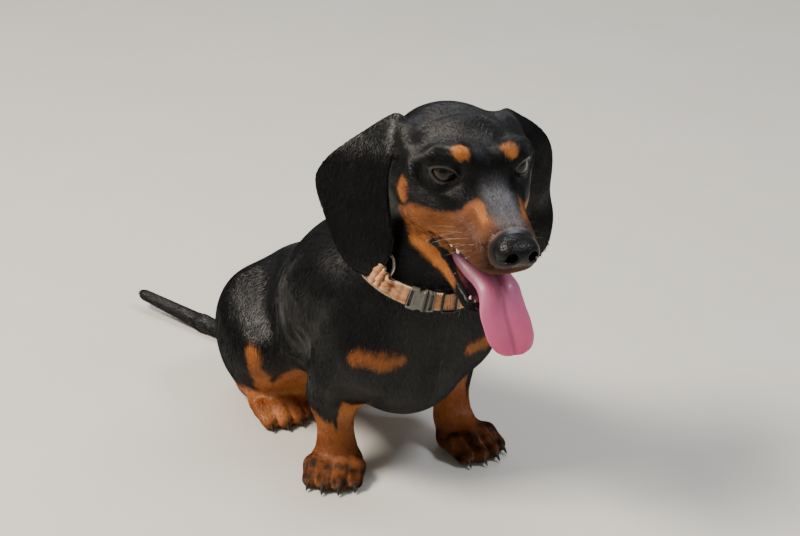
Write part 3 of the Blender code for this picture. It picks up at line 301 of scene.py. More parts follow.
def from_head(q):
    return np.asarray(q, float) @ HEAD_AXES.T * HEAD_SCALE + np.array(HEAD_AT)


def cranium(q):
    m = mirrored(q)
    d = egg(q, (0, -0.013, 0.0000), (SKULL_HALF, 0.044, 0.0318))
    d = join(d, egg(q, (0, 0.010, 0.0070), (0.0300, 0.025, 0.0225)), 0.012)
    # cheek bones and jaw muscles
    d = join(d, egg(m, (0.0245, 0.000, -0.012), (0.0145, 0.027, 0.0165)), 0.014)
    d = join(d, egg(m, (0.0215, -0.018, -0.022), (0.0150, 0.020, 0.0155)), 0.012)
    # the rim over and behind each eye
    rim = [(0.0335, 0.0060, 0.0000), (0.0330, 0.0105, 0.0130), (0.0270, 0.0185, 0.0215),
           (0.0165, 0.0255, 0.0235), (0.0100, 0.0290, 0.0190)]
    radii = [0.0050, 0.0042, 0.0036, 0.0034, 0.0040]
    for a, b, ra, rb in zip(rim, rim[1:], radii, radii[1:]):
        d = join(d, limb(m, a, b, ra, rb), 0.010)
    return join(d, egg(m, (0.0330, -0.0120, 0.0180), (0.0062, 0.0130, 0.0085)), 0.012)


MUZZLE_AT = [0.000, 0.018, 0.030, 0.042, 0.055, 0.068, 0.076, 0.082]
MUZZLE_TOP = [0.026, 0.0225, 0.0165, 0.0115, 0.0070, 0.0030, 0.0010, -0.0020]
MUZZLE_LIP = [-0.031, -0.0330, -0.0350, -0.0350, -0.0330, -0.0300, -0.0278, -0.0245]
MUZZLE_HALF = [0.031, 0.0290, 0.0260, 0.0222, 0.0190, 0.0172, 0.0160, 0.0138]
MUZZLE_ROUND = 0.068


def muzzle(q):
    """A rounded section carried forward, its end drawn in over the last stretch."""
    top, lip, half = (stations(q[..., 1], MUZZLE_AT, v) for v in (MUZZLE_TOP, MUZZLE_LIP, MUZZLE_HALF))
    middle, tall = (top + lip) / 2, (top - lip) / 2
    power = 2.35
    k = ((np.abs(q[..., 0]) / half) ** power + (np.abs(q[..., 2] - middle) / tall) ** power) ** (1 / power)
    least = np.minimum(half, tall)
    past = np.maximum(q[..., 1] - MUZZLE_ROUND, 0)
    d = np.where(past > 0, np.sqrt((k * least) ** 2 + (past * 1.05) ** 2) - least, (k - 1) * least)
    return np.maximum(d, -q[..., 1] - 0.002)


JAW_HINGE = (0, -0.012, -0.016)
JAW_AT = [-0.01, 0.01, 0.03, 0.05, 0.066]
JAW_HALF = [0.0275, 0.0262, 0.0205, 0.0152, 0.0118]
JAW_LOW = [-0.042, -0.0400, -0.0365, -0.0330, -0.0315]
JAW_TOP = [-0.020, -0.0215, -0.0220, -0.0215, -0.0205]
JAW_ROUND = 0.062


def in_jaw(q):
    """Places on the closed jaw, with its swing about the hinge undone."""
    a = np.radians(JAW_OPEN)
    r = q - vec(*JAW_HINGE)
    ahead = r[..., 1] * np.cos(a) - r[..., 2] * np.sin(a)
    up = r[..., 1] * np.sin(a) + r[..., 2] * np.cos(a)
    return np.stack([r[..., 0], ahead, up], -1).astype(REAL) + vec(*JAW_HINGE)


def from_jaw(j):
    a = np.radians(JAW_OPEN)
    r = np.asarray(j, float) - np.array(JAW_HINGE)
    ahead = r[..., 1] * np.cos(a) + r[..., 2] * np.sin(a)
    up = -r[..., 1] * np.sin(a) + r[..., 2] * np.cos(a)
    return np.stack([r[..., 0], ahead, up], -1) + np.array(JAW_HINGE)


def lower_jaw(q):
    j = in_jaw(q)
    half, low, top = (stations(j[..., 1], JAW_AT, v) for v in (JAW_HALF, JAW_LOW, JAW_TOP))
    middle, tall = (top + low) / 2, (top - low) / 2
    least = np.minimum(half, tall)
    k = ((np.abs(j[..., 0]) / half) ** 2.4 + (np.abs(j[..., 2] - middle) / tall) ** 2.4) ** (1 / 2.4)
    past = np.maximum(j[..., 1] - JAW_ROUND, 0)
    d = np.sqrt((k * least) ** 2 + (past * 0.72) ** 2) - least
    return np.maximum(d, -j[..., 1] - 0.012)


def mouth_hollow(q):
    """The palate between the upper lips, and the trough of the lower jaw."""
    half = stations(q[..., 1], MUZZLE_AT, MUZZLE_HALF) - REAL(0.0050)
    lip = stations(q[..., 1], MUZZLE_AT, MUZZLE_LIP)
    palate = (np.sqrt((q[..., 0] / half) ** 2 + ((q[..., 2] - lip) / 0.0105) ** 2) - 1) * 0.0105
    palate = np.maximum(palate, np.maximum(0.016 - q[..., 1], q[..., 1] - 0.0715))
    j = in_jaw(q)
    half = stations(j[..., 1], JAW_AT, JAW_HALF) - REAL(0.0042)
    trough = (np.sqrt((j[..., 0] / half) ** 2 + ((j[..., 2] + 0.0200) / 0.0055) ** 2) - 1) * 0.0055
    trough = np.maximum(trough, np.maximum(0.016 - j[..., 1], j[..., 1] - 0.0640))
    return np.minimum(palate, trough)


SIGHT = np.array([0.50, 0.84, 0.06])
SIGHT = SIGHT / np.linalg.norm(SIGHT)


def eye_slit(m):
    """The almond between the lids, a lens of two arcs seen along the sight."""
    across = np.array([0.80, -0.50, 0.10])
    across = across - SIGHT * (across @ SIGHT)
    across /= np.linalg.norm(across)
    up = np.cross(across, SIGHT)
    up = up if up[2] > 0 else -up
    r = m - vec(*EYE_AT)
    a, b, out = (r @ w.astype(REAL) for w in (across, up, SIGHT))
    w, h = EYE_SLIT[0] / 2, EYE_SLIT[1] / 2
    arc = (w * w + h * h) / (2 * h)
    lens = np.maximum(np.sqrt(a**2 + (b + (arc - h)) ** 2), np.sqrt(a**2 + (b - (arc - h)) ** 2)) - arc
    return np.maximum(lens, 0.003 - out)


def head(p):
    q = in_head(p)
    m = mirrored(q)
    d = join(cranium(q), muzzle(q), 0.012)
    # the whisker bed over the hanging lip
    d = join(d, egg(m, (0.0110, 0.0580, -0.0180), (0.0078, 0.0190, 0.0105)), 0.006)
    d = join(d, lower_jaw(q), 0.006)
    d = carve(d, mouth_hollow(q), 0.002)
    # the hollow of the eye, the lids round the ball, and the slit
    d = carve(d, egg(m, (0.0285, 0.0300, 0.0130), (0.0120, 0.0120, 0.0070), turned(rz=-30)), 0.006)
    d = join(d, ball(m, EYE_AT, EYE_RADIUS + LID), 0.0045)
    d = carve(d, eye_slit(m), 0.0012)
    return d * REAL(HEAD_SCALE)


def nose(p):
    q = in_head(p)
    m = mirrored(q)
    d = egg(q, (0, 0.0765, -0.0088), (0.0120, 0.0125, 0.0088), turned(rx=8))
    d = join(d, egg(m, (0.0068, 0.0800, -0.0100), (0.0060, 0.0078, 0.0072)), 0.004)
    # nostrils, their side slits and the groove between them
    d = carve(d, limb(m, (0.0052, 0.0920, -0.0080), (0.0062, 0.0840, -0.0082), 0.0021, 0.0024), 0.0012)
    d = carve(d, limb(m, (0.0075, 0.0885, -0.0105), (0.0132, 0.0820, -0.0120), 0.0009, 0.0008), 0.0012)
    d = carve(d, limb(q, (0, 0.0900, -0.0100), (0, 0.0870, -0.0170), 0.0006, 0.0006), 0.0015)
    return d * REAL(HEAD_SCALE)


# Tongue: centre line, half-width and half-thickness, from the floor of the mouth to the tip
TONGUE = [(0.000, 0.006, -0.0400), (0.002, 0.020, -0.0445), (0.004, 0.036, -0.0480),
          (0.0056, 0.047, -0.0485),
          (0.0062, 0.0545, -0.0500), (0.0060, 0.0600, -0.0540), (0.0060, 0.0642, -0.0595),
          (0.0075, 0.0680, -0.0660), (0.0095, 0.0715, -0.0740), (0.0110, 0.0745, -0.0805),
          (0.0113, 0.0757, -0.0835)]
TONGUE_HALF = [0.0110, 0.0130, 0.0132, 0.0130, 0.0134, 0.0140, 0.0148, 0.0155, 0.0150, 0.0112, 0.0058]
TONGUE_THICK = [0.0050, 0.0054, 0.0054, 0.0050, 0.0044, 0.0036, 0.0030, 0.0027, 0.0024, 0.0020, 0.0014]

# Ear flap: its outline, across from the front edge and down from the root
EAR_OUTLINE = {
    1: [(-0.002, 0.009), (0.004, 0.002), (0.0165, 0.011), (0.0385, 0.0300), (0.0505, 0.044),
        (0.0545, 0.0525), (0.050, 0.063), (0.0445, 0.075), (0.040, 0.086), (0.0325, 0.0975),
        (0.0215, 0.1040), (0.0115, 0.1045), (0.0035, 0.098), (-0.0013, 0.087), (-0.0025, 0.075),
        (0.000, 0.058), (0.003, 0.038), (0.002, 0.024)],
    -1: [(-0.002, 0.007), (0.0045, -0.001), (0.0170, 0.0060), (0.0405, 0.0225), (0.0515, 0.0365),
         (0.0525, 0.047), (0.0455, 0.060), (0.0375, 0.0745), (0.0305, 0.084), (0.0235, 0.0915),
         (0.0165, 0.0955), (0.010, 0.096), (0.0038, 0.0915), (-0.0008, 0.083), (-0.0025, 0.073),
         (0.000, 0.057), (0.003, 0.038), (0.002, 0.024)],
}
EAR_SIZE = (0.050, 0.100)


def closed_curve(points, count):
    """A smooth closed curve through the points."""
    p = np.asarray(points, float)
    t = np.arange(count) * len(p) / count
    i = t.astype(int)
    s = (t - i)[:, None]
    a, b, c, d = (p[(i + k) % len(p)] for k in (-1, 0, 1, 2))
    return 0.5 * (2 * b + (c - a) * s + (2 * a - 5 * b + 4 * c - d) * s**2 + (3 * b - a - 3 * c + d) * s**3)


def outline_distance(x, y, ring):
    """Signed distance to a closed outline in its plane."""
    d = np.full(x.shape, 9e9, REAL)
    inside = np.zeros(x.shape, bool)
    for a, b in zip(ring, np.roll(ring, -1, 0)):
        e = b - a
        h = np.clip(((x - a[0]) * e[0] + (y - a[1]) * e[1]) / (e @ e), 0, 1)
        d = np.minimum(d, (x - a[0] - e[0] * h) ** 2 + (y - a[1] - e[1] * h) ** 2)
        if a[1] != b[1]:
            crosses = (a[1] > y) != (b[1] > y)
            inside ^= crosses & (x < a[0] + (y - a[1]) * e[0] / e[1])
    d = np.sqrt(d)
    return np.where(inside, -d, d)


EAR_RING = {side: closed_curve(EAR_OUTLINE[side], 42) for side in (1, -1)}


def ear(p, side):
    """A thin flap hung plumb from the skull, its rear edge flared out."""
    root = from_head([EAR_AT[0] * side, EAR_AT[1], EAR_AT[2]])
    yaw, flare = np.radians(HEAD_TURN[0]), np.radians(EAR_FLARE[side])
    back = np.array([np.sin(yaw), np.cos(yaw), 0])
    out = np.array([np.cos(yaw), -np.sin(yaw), 0]) * side
    across = back * np.cos(flare) + out * np.sin(flare)
    normal = out * np.cos(flare) - back * np.sin(flare)
    r = p - root.astype(REAL)
    s, t, n = r @ across.astype(REAL), -r[..., 2], r @ normal.astype(REAL)
    u, w = s / EAR_SIZE[0], np.maximum(t, 0) / EAR_SIZE[1]
    # the root turns in to the skull, the flap bows out and its tip curls back
    bow = -0.012 * np.exp(-(((t + 0.002) / 0.015) ** 2)) + EAR_LEAN[side] * w
    bow -= 0.0065 * (u - 0.5) ** 2 * 4 * np.sqrt(w)
    bow += 0.0030 * np.exp(-(((s + 0.002) / 0.006) ** 2)) * np.exp(-(((t - 0.045) / 0.03) ** 2))
    bow -= 0.064 * np.clip(w - 0.75, 0, 1) ** 2 + EAR_WAVE[side] * np.exp(-(((t - 0.069) / 0.012) ** 2))
    edge = np.maximum(outline_distance(s, t, EAR_RING[side]) + EAR_HALF, 0)
    return (np.sqrt(edge**2 + ((n - bow) * 0.93) ** 2) - EAR_HALF).astype(REAL)


def flesh(p):
    """Body and head as one, without ears, eyes, nose and tongue."""
    d = body(p)
    middle = np.array(HEAD_AT) + np.array([-0.003, -0.020, -0.010])
    reach = ball(p, middle, 0.105)
    close = reach < 0
    if close.any():
        d[close] = join(d[close], head(p[close]), 0.010)
    return d


# The dog's place
# The solids stand with the middle of their box at the origin; the left eyeball shows how far that is from here.
low, high = (np.array(c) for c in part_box("eye_left"))
SHIFT = (low + high) / 2 - from_head(EYE_AT)


# The camera and the studio
# A long lens from the dog's front right, a little above it. A wide pale floor under an even pale light, a strong
# soft lamp high on the left, a weaker one in front and a thin one behind for the rim of the coat.
AIM, DISTANCE, AZIMUTH, ELEVATION = (-0.0065, -0.0731, 0.1463), 1.30, -30.0, 24.0


def from_angle(azimuth, elevation):
    """The way from the dog to an eye at this azimuth and elevation in degrees."""
    a, e = np.radians([azimuth, elevation])
    return Vector((np.sin(a) * np.cos(e), -np.cos(a) * np.cos(e), np.sin(e)))


aim = Vector(AIM) + Vector(SHIFT)
camera = bpy.data.objects.new("camera", bpy.data.cameras.new("camera"))
bpy.context.scene.collection.objects.link(camera)
camera.data.sensor_width = 36.0
camera.data.lens = 92.93
camera.data.clip_start = 0.05
camera.location = aim + from_angle(AZIMUTH, ELEVATION) * DISTANCE
camera.rotation_euler = (camera.location - aim).to_track_quat("Z", "Y").to_euler()
bpy.context.scene.camera = camera


def linear(code, alpha=1.0):
    """An sRGB hex colour as linear light."""
    c = np.array([int(code[i : i + 2], 16) for i in (1, 3, 5)]) / 255
    c = np.where(c <= 0.04045, c / 12.92, ((c + 0.055) / 1.055) ** 2.4)
    return (*c.tolist(), alpha)


def add(tree, kind, inputs=None, **settings):
    """A node with its settings; an input takes a value, or a socket to link."""
    made = tree.nodes.new("ShaderNode" + kind)
    for key, value in settings.items():
        setattr(made, key, value)
    for key, value in (inputs or {}).items():
        if isinstance(value, bpy.types.NodeSocket):
            tree.links.new(value, made.inputs[key])
        else:
            made.inputs[key].default_value = value
    return made


def surface(name, **sockets):
    """A new material; returns it with its tree and its shader."""
    material = bpy.data.materials.new(name)
    material.use_nodes = True
    tree = material.node_tree
    shader = tree.nodes["Principled BSDF"]
    for key, value in sockets.items():
        shader.inputs[key.replace("_", " ")].default_value = value
    return material, tree, shader


def lamp(name, azimuth, elevation, distance, size, watts, colour="#ffffff"):
    light = bpy.data.lights.new(name, "AREA")
    light.shape = "RECTANGLE"
    light.size, light.size_y = size
    light.energy = watts
    light.color = linear(colour)[:3]
    obj = bpy.data.objects.new(name, light)
    bpy.context.scene.collection.objects.link(obj)
    obj.location = aim + from_angle(azimuth, elevation) * distance
    obj.rotation_euler = (obj.location - aim).to_track_quat("Z", "Y").to_euler()
    return obj


lamp("key_lamp", -105, 52, 1.7, (0.7, 0.5), 46, "#fff4e6")
lamp("front_lamp", 42, 56, 2.2, (0.55, 0.42), 22, "#eef3ff")
lamp("rim_lamp", 165, 50, 1.9, (1.0, 0.3), 9, "#f4f7ff")

world = bpy.data.worlds.new("studio")
bpy.context.scene.world = world
world.use_nodes = True
world.node_tree.nodes["Background"].inputs["Color"].default_value = linear("#e3e1dc")
world.node_tree.nodes["Background"].inputs["Strength"].default_value = 0.42

# painted plaster floor, matt, with the faint mottle of a roller
plaster, tree, shader = surface("painted_plaster", Roughness=0.85)
where = add(tree, "TexCoord")
mottle = add(tree, "TexNoise", {"Vector": where.outputs["Object"], "Scale": 9.0, "Detail": 4.0})
tint = add(tree, "MixRGB", {"Fac": mottle.outputs["Fac"], "Color1": linear("#d3d0c6"), "Color2": linear("#dcdad2")})
tree.links.new(tint.outputs["Color"], shader.inputs["Base Color"])


def sheet_of_points(rows, columns):
    """The quads of a grid of points, row after row."""
    i, j = np.meshgrid(np.arange(rows - 1), np.arange(columns - 1), indexing="ij")
    a = (i * columns + j).ravel()
    return np.stack([a, a + 1, a + columns + 1, a + columns], 1)


def shaped(name, points, quads=None, tris=None, material=None, smooth=True):
    """A mesh from arrays of points, quads and triangles, in the dog's own axes, moved to the row's frame."""
    mesh = bpy.data.meshes.new(name)
    faces = [np.asarray(f, np.int32) for f in (quads, tris) if f is not None and len(f)]
    sizes = np.concatenate([np.full(len(f), f.shape[1], np.int32) for f in faces])
    corners = np.concatenate([f.ravel() for f in faces])
    mesh.vertices.add(len(points))
    mesh.vertices.foreach_set("co", (np.asarray(points, float) + SHIFT).astype(REAL).ravel())
    mesh.loops.add(len(corners))
    mesh.loops.foreach_set("vertex_index", corners)
    mesh.polygons.add(len(sizes))
    mesh.polygons.foreach_set("loop_start", np.concatenate([[0], np.cumsum(sizes)[:-1]]).astype(np.int32))
    mesh.polygons.foreach_set("use_smooth", np.full(len(sizes), smooth))
    mesh.update(calc_edges=True)
    obj = bpy.data.objects.new(name, mesh)
    bpy.context.scene.collection.objects.link(obj)
    if material:
        mesh.materials.append(material)
    return obj


# its edge lies too far off to be seen as an edge
across = np.linspace(-1, 1, 41) ** 3 * 60
flat = np.stack(np.meshgrid(across, across, [0.0], indexing="ij"), -1).reshape(-1, 3)
floor = shaped("floor", flat - SHIFT, quads=sheet_of_points(41, 41)[:, ::-1], material=plaster)
floor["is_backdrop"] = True


# The skin
# One hide over head, neck, trunk, legs and tail: the same form, drawn in by the depth of the coat, less on the
# face, ears and feet. It is worked out on a fine grid near the surface only, and settled on the true form.
SKIN_STEP = {"body": 0.00155, "head": 0.00095}


def smooth_step(x):
    x = np.clip(x, 0, 1)
    return x * x * (3 - 2 * x)


def coat_depth(p):
    """How far the skin lies under the tips of the coat: a millimetre on the body, less on the head and feet."""
    centre = np.array(HEAD_AT) + np.array([0, -0.012, -0.008])
    from_skull = np.sqrt(((p - centre.astype(REAL)) ** 2).sum(-1))
    near_head = smooth_step((0.088 - from_skull) / 0.022)
    near_floor = smooth_step((0.040 - p[..., 2]) / 0.022)
    body_depth = 0.0010 - 0.0006 * near_floor
    return (body_depth * (1 - near_head) + 0.00025 * near_head).astype(REAL)


FOLDS = [[(0.0604, -0.0296, 0.1191), (0.0606, -0.0345, 0.1034), (0.0617, -0.0477, 0.0900)],
         [(0.0560, -0.0120, 0.1220), (0.0570, -0.0180, 0.1020), (0.0590, -0.0300, 0.0830)],
         [(0.0500, 0.0130, 0.1000), (0.0530, 0.0090, 0.0830), (0.0520, 0.0000, 0.0680)]]


def folds(p):
    """Shallow creases of loose skin behind the elbow and before the thigh, and round the corner of the mouth."""
    m = mirrored(p)
    push = np.zeros(p.shape[:-1], REAL)
    close = (np.abs(p[..., 1] + 0.01) < 0.06) & (m[..., 0] > 0.035)
    if close.any():
        here = m[close]
        for line in FOLDS:
            d = chain(here, line, [0.0001] * 3, 0.001)
            push[close] += REAL(0.0009) * np.exp(-((d / 0.0026) ** 2))
            push[close] -= REAL(0.0005) * np.exp(-(((d - 0.0060) / 0.0040) ** 2))
    q = in_head(p)
    cheek = (np.abs(q[..., 0]) > 0.019) & (np.abs(q[..., 1] - 0.015) < 0.022) & (np.abs(q[..., 2] + 0.030) < 0.026)
    if cheek.any():
        r = np.hypot(q[cheek][:, 1] - 0.0205, q[cheek][:, 2] + 0.0270)
        back = smooth_step((0.0250 - q[cheek][:, 1]) / 0.010)
        push[cheek] += (REAL(0.0007) * (np.exp(-(((r - 0.0092) / 0.0012) ** 2)) - 0.8 * np.exp(-(((r - 0.0064) / 0.0018) ** 2))
                                        + 0.6 * np.exp(-(((r - 0.0142) / 0.0013) ** 2))) * back).astype(REAL)
    return push


def near_ear(p, side):
    root = from_head([EAR_AT[0] * side, EAR_AT[1], EAR_AT[2]])
    r = p - root.astype(REAL)
    x = r[..., 0] * side
    return (x > -0.022) & (x < 0.075) & (np.abs(r[..., 1] - 0.012) < 0.060) & (r[..., 2] < 0.016) & (r[..., 2] > -0.116)


def hide(p):
    """The distance to the skin: flesh and ears as one, drawn in by the coat."""
    d = flesh(p)
    for side in (1, -1):
        near = near_ear(p, side)
        if near.any():
            d[near] = join(d[near], ear(p[near], side), 0.0040)
    return d + coat_depth(p) + folds(p)


workers = ThreadPoolExecutor(4)


def in_parts(formula, p, part=60000):
    """A formula of many places, worked out on all cores."""
    pieces = [p[i : i + part] for i in range(0, len(p), part)]
    return np.concatenate(list(workers.map(formula, pieces)))


def grid_near(formula, low, high, step, block=8):
    """Distances on a grid: exact in blocks that the surface may cross, a rough value in the others."""
    low = np.array(low, float)
    count = np.ceil((np.array(high) - low) / (step * block)).astype(int)
    index = np.stack(np.meshgrid(*[np.arange(n) for n in count], indexing="ij"), -1).reshape(-1, 3)
    centres = low + (index + 0.5) * step * block
    rough = in_parts(formula, centres.astype(REAL), 4000)
    active = np.abs(rough) < step * block * 0.866 * 1.35 + 0.0012
    d = np.repeat(np.repeat(np.repeat(rough.reshape(count), block, 0), block, 1), block, 2)
    offsets = np.stack(np.meshgrid(*[np.arange(block)] * 3, indexing="ij"), -1).reshape(-1, 3)
    chosen = index[active]
    cells = (chosen[:, None] * block + offsets).reshape(-1, 3)
    d[tuple(cells.T)] = in_parts(formula, (low + cells * step).astype(REAL))
    return d


def sample(d, low, step, p):
    """The grid's value at any place, from its eight neighbours."""
    g = (p - low) / step
    i = np.clip(np.floor(g).astype(int), 0, np.array(d.shape) - 2)
    f = (g - i).astype(REAL)
    x, y, z = i.T
    fx, fy, fz = f.T
    a = d[x, y, z] * (1 - fx) + d[x + 1, y, z] * fx
    b = d[x, y + 1, z] * (1 - fx) + d[x + 1, y + 1, z] * fx
    c = d[x, y, z + 1] * (1 - fx) + d[x + 1, y, z + 1] * fx
    e = d[x, y + 1, z + 1] * (1 - fx) + d[x + 1, y + 1, z + 1] * fx
    return (a * (1 - fy) + b * fy) * (1 - fz) + (c * (1 - fy) + e * fy) * fz


def slope(d, low, step, p, reach=0.7):
    """The unit direction in which the grid's value grows."""
    out = np.empty((len(p), 3))
    for axis in range(3):
        shift = np.zeros(3)
        shift[axis] = step * reach
        out[:, axis] = sample(d, low, step, p + shift) - sample(d, low, step, p - shift)
    return out / np.maximum(np.linalg.norm(out, axis=1, keepdims=True), 1e-9)


def filled_corners(inside):
    """Fills grid points where two bodies would meet along a bare edge."""
    for axis in range(3):
        f = np.moveaxis(inside, axis, 0)
        a, b, c, d = f[:, :-1, :-1], f[:, 1:, :-1], f[:, :-1, 1:], f[:, 1:, 1:]
        crossed = (a == d) & (b == c) & (a != b)
        f[:, :-1, :-1] |= crossed
        f[:, 1:, :-1] |= crossed
    return inside


def net(d, low, step):
    """A point in each crossed cell, at the middle of its crossings, and a quad round each crossed edge."""
    inside = d < 0
    for _ in range(3):
        inside = filled_corners(inside)
    d = np.where(inside & (d >= 0), REAL(-step * 0.02), d)
    cells = tuple(n - 1 for n in d.shape)
    count = np.zeros(cells, np.int8)
    corner = [(i, j, k) for i in (0, 1) for j in (0, 1) for k in (0, 1)]
    for i, j, k in corner:
        count += inside[i : i + cells[0], j : j + cells[1], k : k + cells[2]]
    mixed = (count > 0) & (count < 8)
    cell = np.argwhere(mixed)
    number = np.full(cells, -1, np.int32)
    number[mixed] = np.arange(len(cell))
    value = {c: d[tuple((cell + c).T)] for c in corner}
    place, crossings = np.zeros((len(cell), 3)), np.zeros(len(cell))
    for axis in range(3):
        for first in corner:
            if first[axis]:
                continue
            second = tuple(v + (k == axis) for k, v in enumerate(first))
            a, b = value[first], value[second]
            cut = (a < 0) != (b < 0)
            t = np.where(cut, a / np.where(cut, a - b, 1), 0)
            spot = np.tile(np.array(first, float), (len(a), 1))
            spot[:, axis] += t
            place += spot * cut[:, None]
            crossings += cut
    points = low + (cell + place / crossings[:, None]) * step
    quads = []
    for axis in range(3):
        u, v = (axis + 1) % 3, (axis + 2) % 3
        a = np.moveaxis(inside, axis, 0)
        at = np.argwhere(np.moveaxis(a[:-1] != a[1:], 0, axis))
        at = at[(at[:, u] > 0) & (at[:, v] > 0) & (at[:, u] < d.shape[u] - 1) & (at[:, v] < d.shape[v] - 1)]
        leaving = inside[tuple(at.T)]
        ring = []
        for du, dv in ((-1, -1), (0, -1), (0, 0), (-1, 0)):
            c = at.copy()
            c[:, u] += du
            c[:, v] += dv
            ring.append(number[tuple(c.T)])
        ring = np.stack(ring, 1)
        quads.append(np.where(leaving[:, None], ring, ring[:, ::-1]))
    return points, np.concatenate(quads)


def relaxed(points, quads, d, low, step):
    """Each point moved half way to the mean of its neighbours and back onto the surface, twice."""
    for _ in range(2):
        total, count = np.zeros_like(points), np.zeros(len(points))
        for a, b in ((0, 1), (1, 2), (2, 3), (3, 0)):
            for i, j in ((a, b), (b, a)):
                for axis in range(3):
                    total[:, axis] += np.bincount(quads[:, i], points[quads[:, j], axis], len(points))
                count += np.bincount(quads[:, i], minlength=len(points))
        points = points * 0.5 + total / np.maximum(count, 1)[:, None] * 0.5
        for _ in range(2):
            points = points - slope(d, low, step, points) * sample(d, low, step, points)[:, None] * 0.9
    return points


def kept(points, quads, keep):
    """Only the faces whose points are all kept, and only the points that they use."""
    quads = quads[keep[quads].all(1)]
    used = np.zeros(len(points), bool)
    used[quads] = True
    number = np.cumsum(used) - 1
    return points[used], number[quads], used


COLLAR_UP = np.array([0, -np.sin(np.radians(COLLAR_TILT)), np.cos(np.radians(COLLAR_TILT))])
COLLAR_FRONT = np.array([0, -COLLAR_UP[2], COLLAR_UP[1]])
REGION = {"body": ((-0.083, -0.150, -0.0040), (0.083, 0.256, 0.1960)),
          "head": ((-0.078, -0.206, 0.1150), (0.108, -0.022, 0.2720))}


def off_floor(p):
    """The skin, but never under the floor."""
    return np.maximum(hide(p), 0.0001 - p[..., 2])


skin = {}
for name, (low, high) in REGION.items():
    step, low = SKIN_STEP[name], np.array(low)
    d = grid_near(off_floor, low, high, step)
    points, quads = net(d, low, step)
    points = relaxed(points, quads, d, low, step)
    level = (points - np.array(COLLAR_AT)) @ COLLAR_UP
    keep = level < 0.0022 if name == "body" else level > -0.0022
    points, quads, _ = kept(points, quads, keep)
    skin[name] = dict(points=points, quads=quads, grid=d, low=low, step=step, normals=slope(d, low, step, points))


# The markings
# Black and tan: black all over, with rust tan over the eyes, on cheeks, muzzle, chest, legs and under the tail.
# The dye is in the hair itself, so skin and coat take their colour from the same formulas, with edges a few
# hairs wide. Lips, rims of the lids, nose edge and pads are bare black leather, and the mouth is wet inside.
# The same formulas also carry painted light: a pale grey painted sheen over the top of the muzzle, and a lighter
# painted highlight strip along each side of its top.
BROWS = ((-0.0160, 0.0290, 0.0270), (0.0136, 0.0290, 0.0256))
CHEEK = (0.0400, 0.0090, -0.0042)
TAN_FROM = [-0.004, 0.0029, 0.0087, 0.0161, 0.0247, 0.0325, 0.0408, 0.0487, 0.075]
TAN_UPPER = [-0.0210, -0.0185, -0.0152, -0.0092, -0.0075, -0.0064, -0.0037, 0.0012, 0.0022]
TAN_LOWER = [-0.0180, -0.0249, -0.0390, -0.0436, -0.0506, -0.0548, -0.0590, -0.0632, -0.0730]
LIP_LINE_FROM = [0.0161, 0.0254, 0.0360, 0.0400, 0.0800]
LIP_LINE = [-0.0345, -0.0440, -0.0510, -0.0585, -0.0900]
SADDLE_FROM = [0.040, 0.046, 0.050, 0.059, 0.067, 0.0715]
SADDLE = {-1: [0.060, 0.0150, 0.0102, 0.0102, 0.0105, 0.0060], 1: [0.060, 0.0170, 0.0130, 0.0125, 0.0115, 0.0070]}
CHEST = {1: [(0.020, -0.114, 0.1035), (0.036, -0.108, 0.1025), (0.052, -0.096, 0.1055)],
         -1: [(0.0275, -0.112, 0.1030), (0.038, -0.107, 0.1035), (0.052, -0.096, 0.1062)]}
SLEEVE_AT = {-1: ([-40, 8, 15, 19, 33, 55, 80, 108, 180],
                  [0.080, 0.078, 0.064, 0.0450, 0.0425, 0.0440, 0.0485, 0.0505, 0.056]),
             1: ([-40, 8, 20, 38, 55, 90, 180], [0.088, 0.084, 0.039, 0.042, 0.048, 0.056, 0.056])}


def uneven(p, size, seed):
    """A smooth uneven value of about -1 to 1: nine sine waves of about one size, across one another."""
    chance = np.random.default_rng(seed)
    ways = chance.normal(size=(9, 3))
    ways *= 2 * np.pi / size * chance.uniform(0.6, 1.5, (9, 1)) / np.linalg.norm(ways, axis=1, keepdims=True)
    return (np.sin(p @ ways.T + chance.uniform(0, 6.28, 9)).sum(-1) / 3.6).astype(REAL)


def blot(d, soft):
    """One inside a form and none outside, over a soft edge."""
    return smooth_step(0.5 - d / soft)


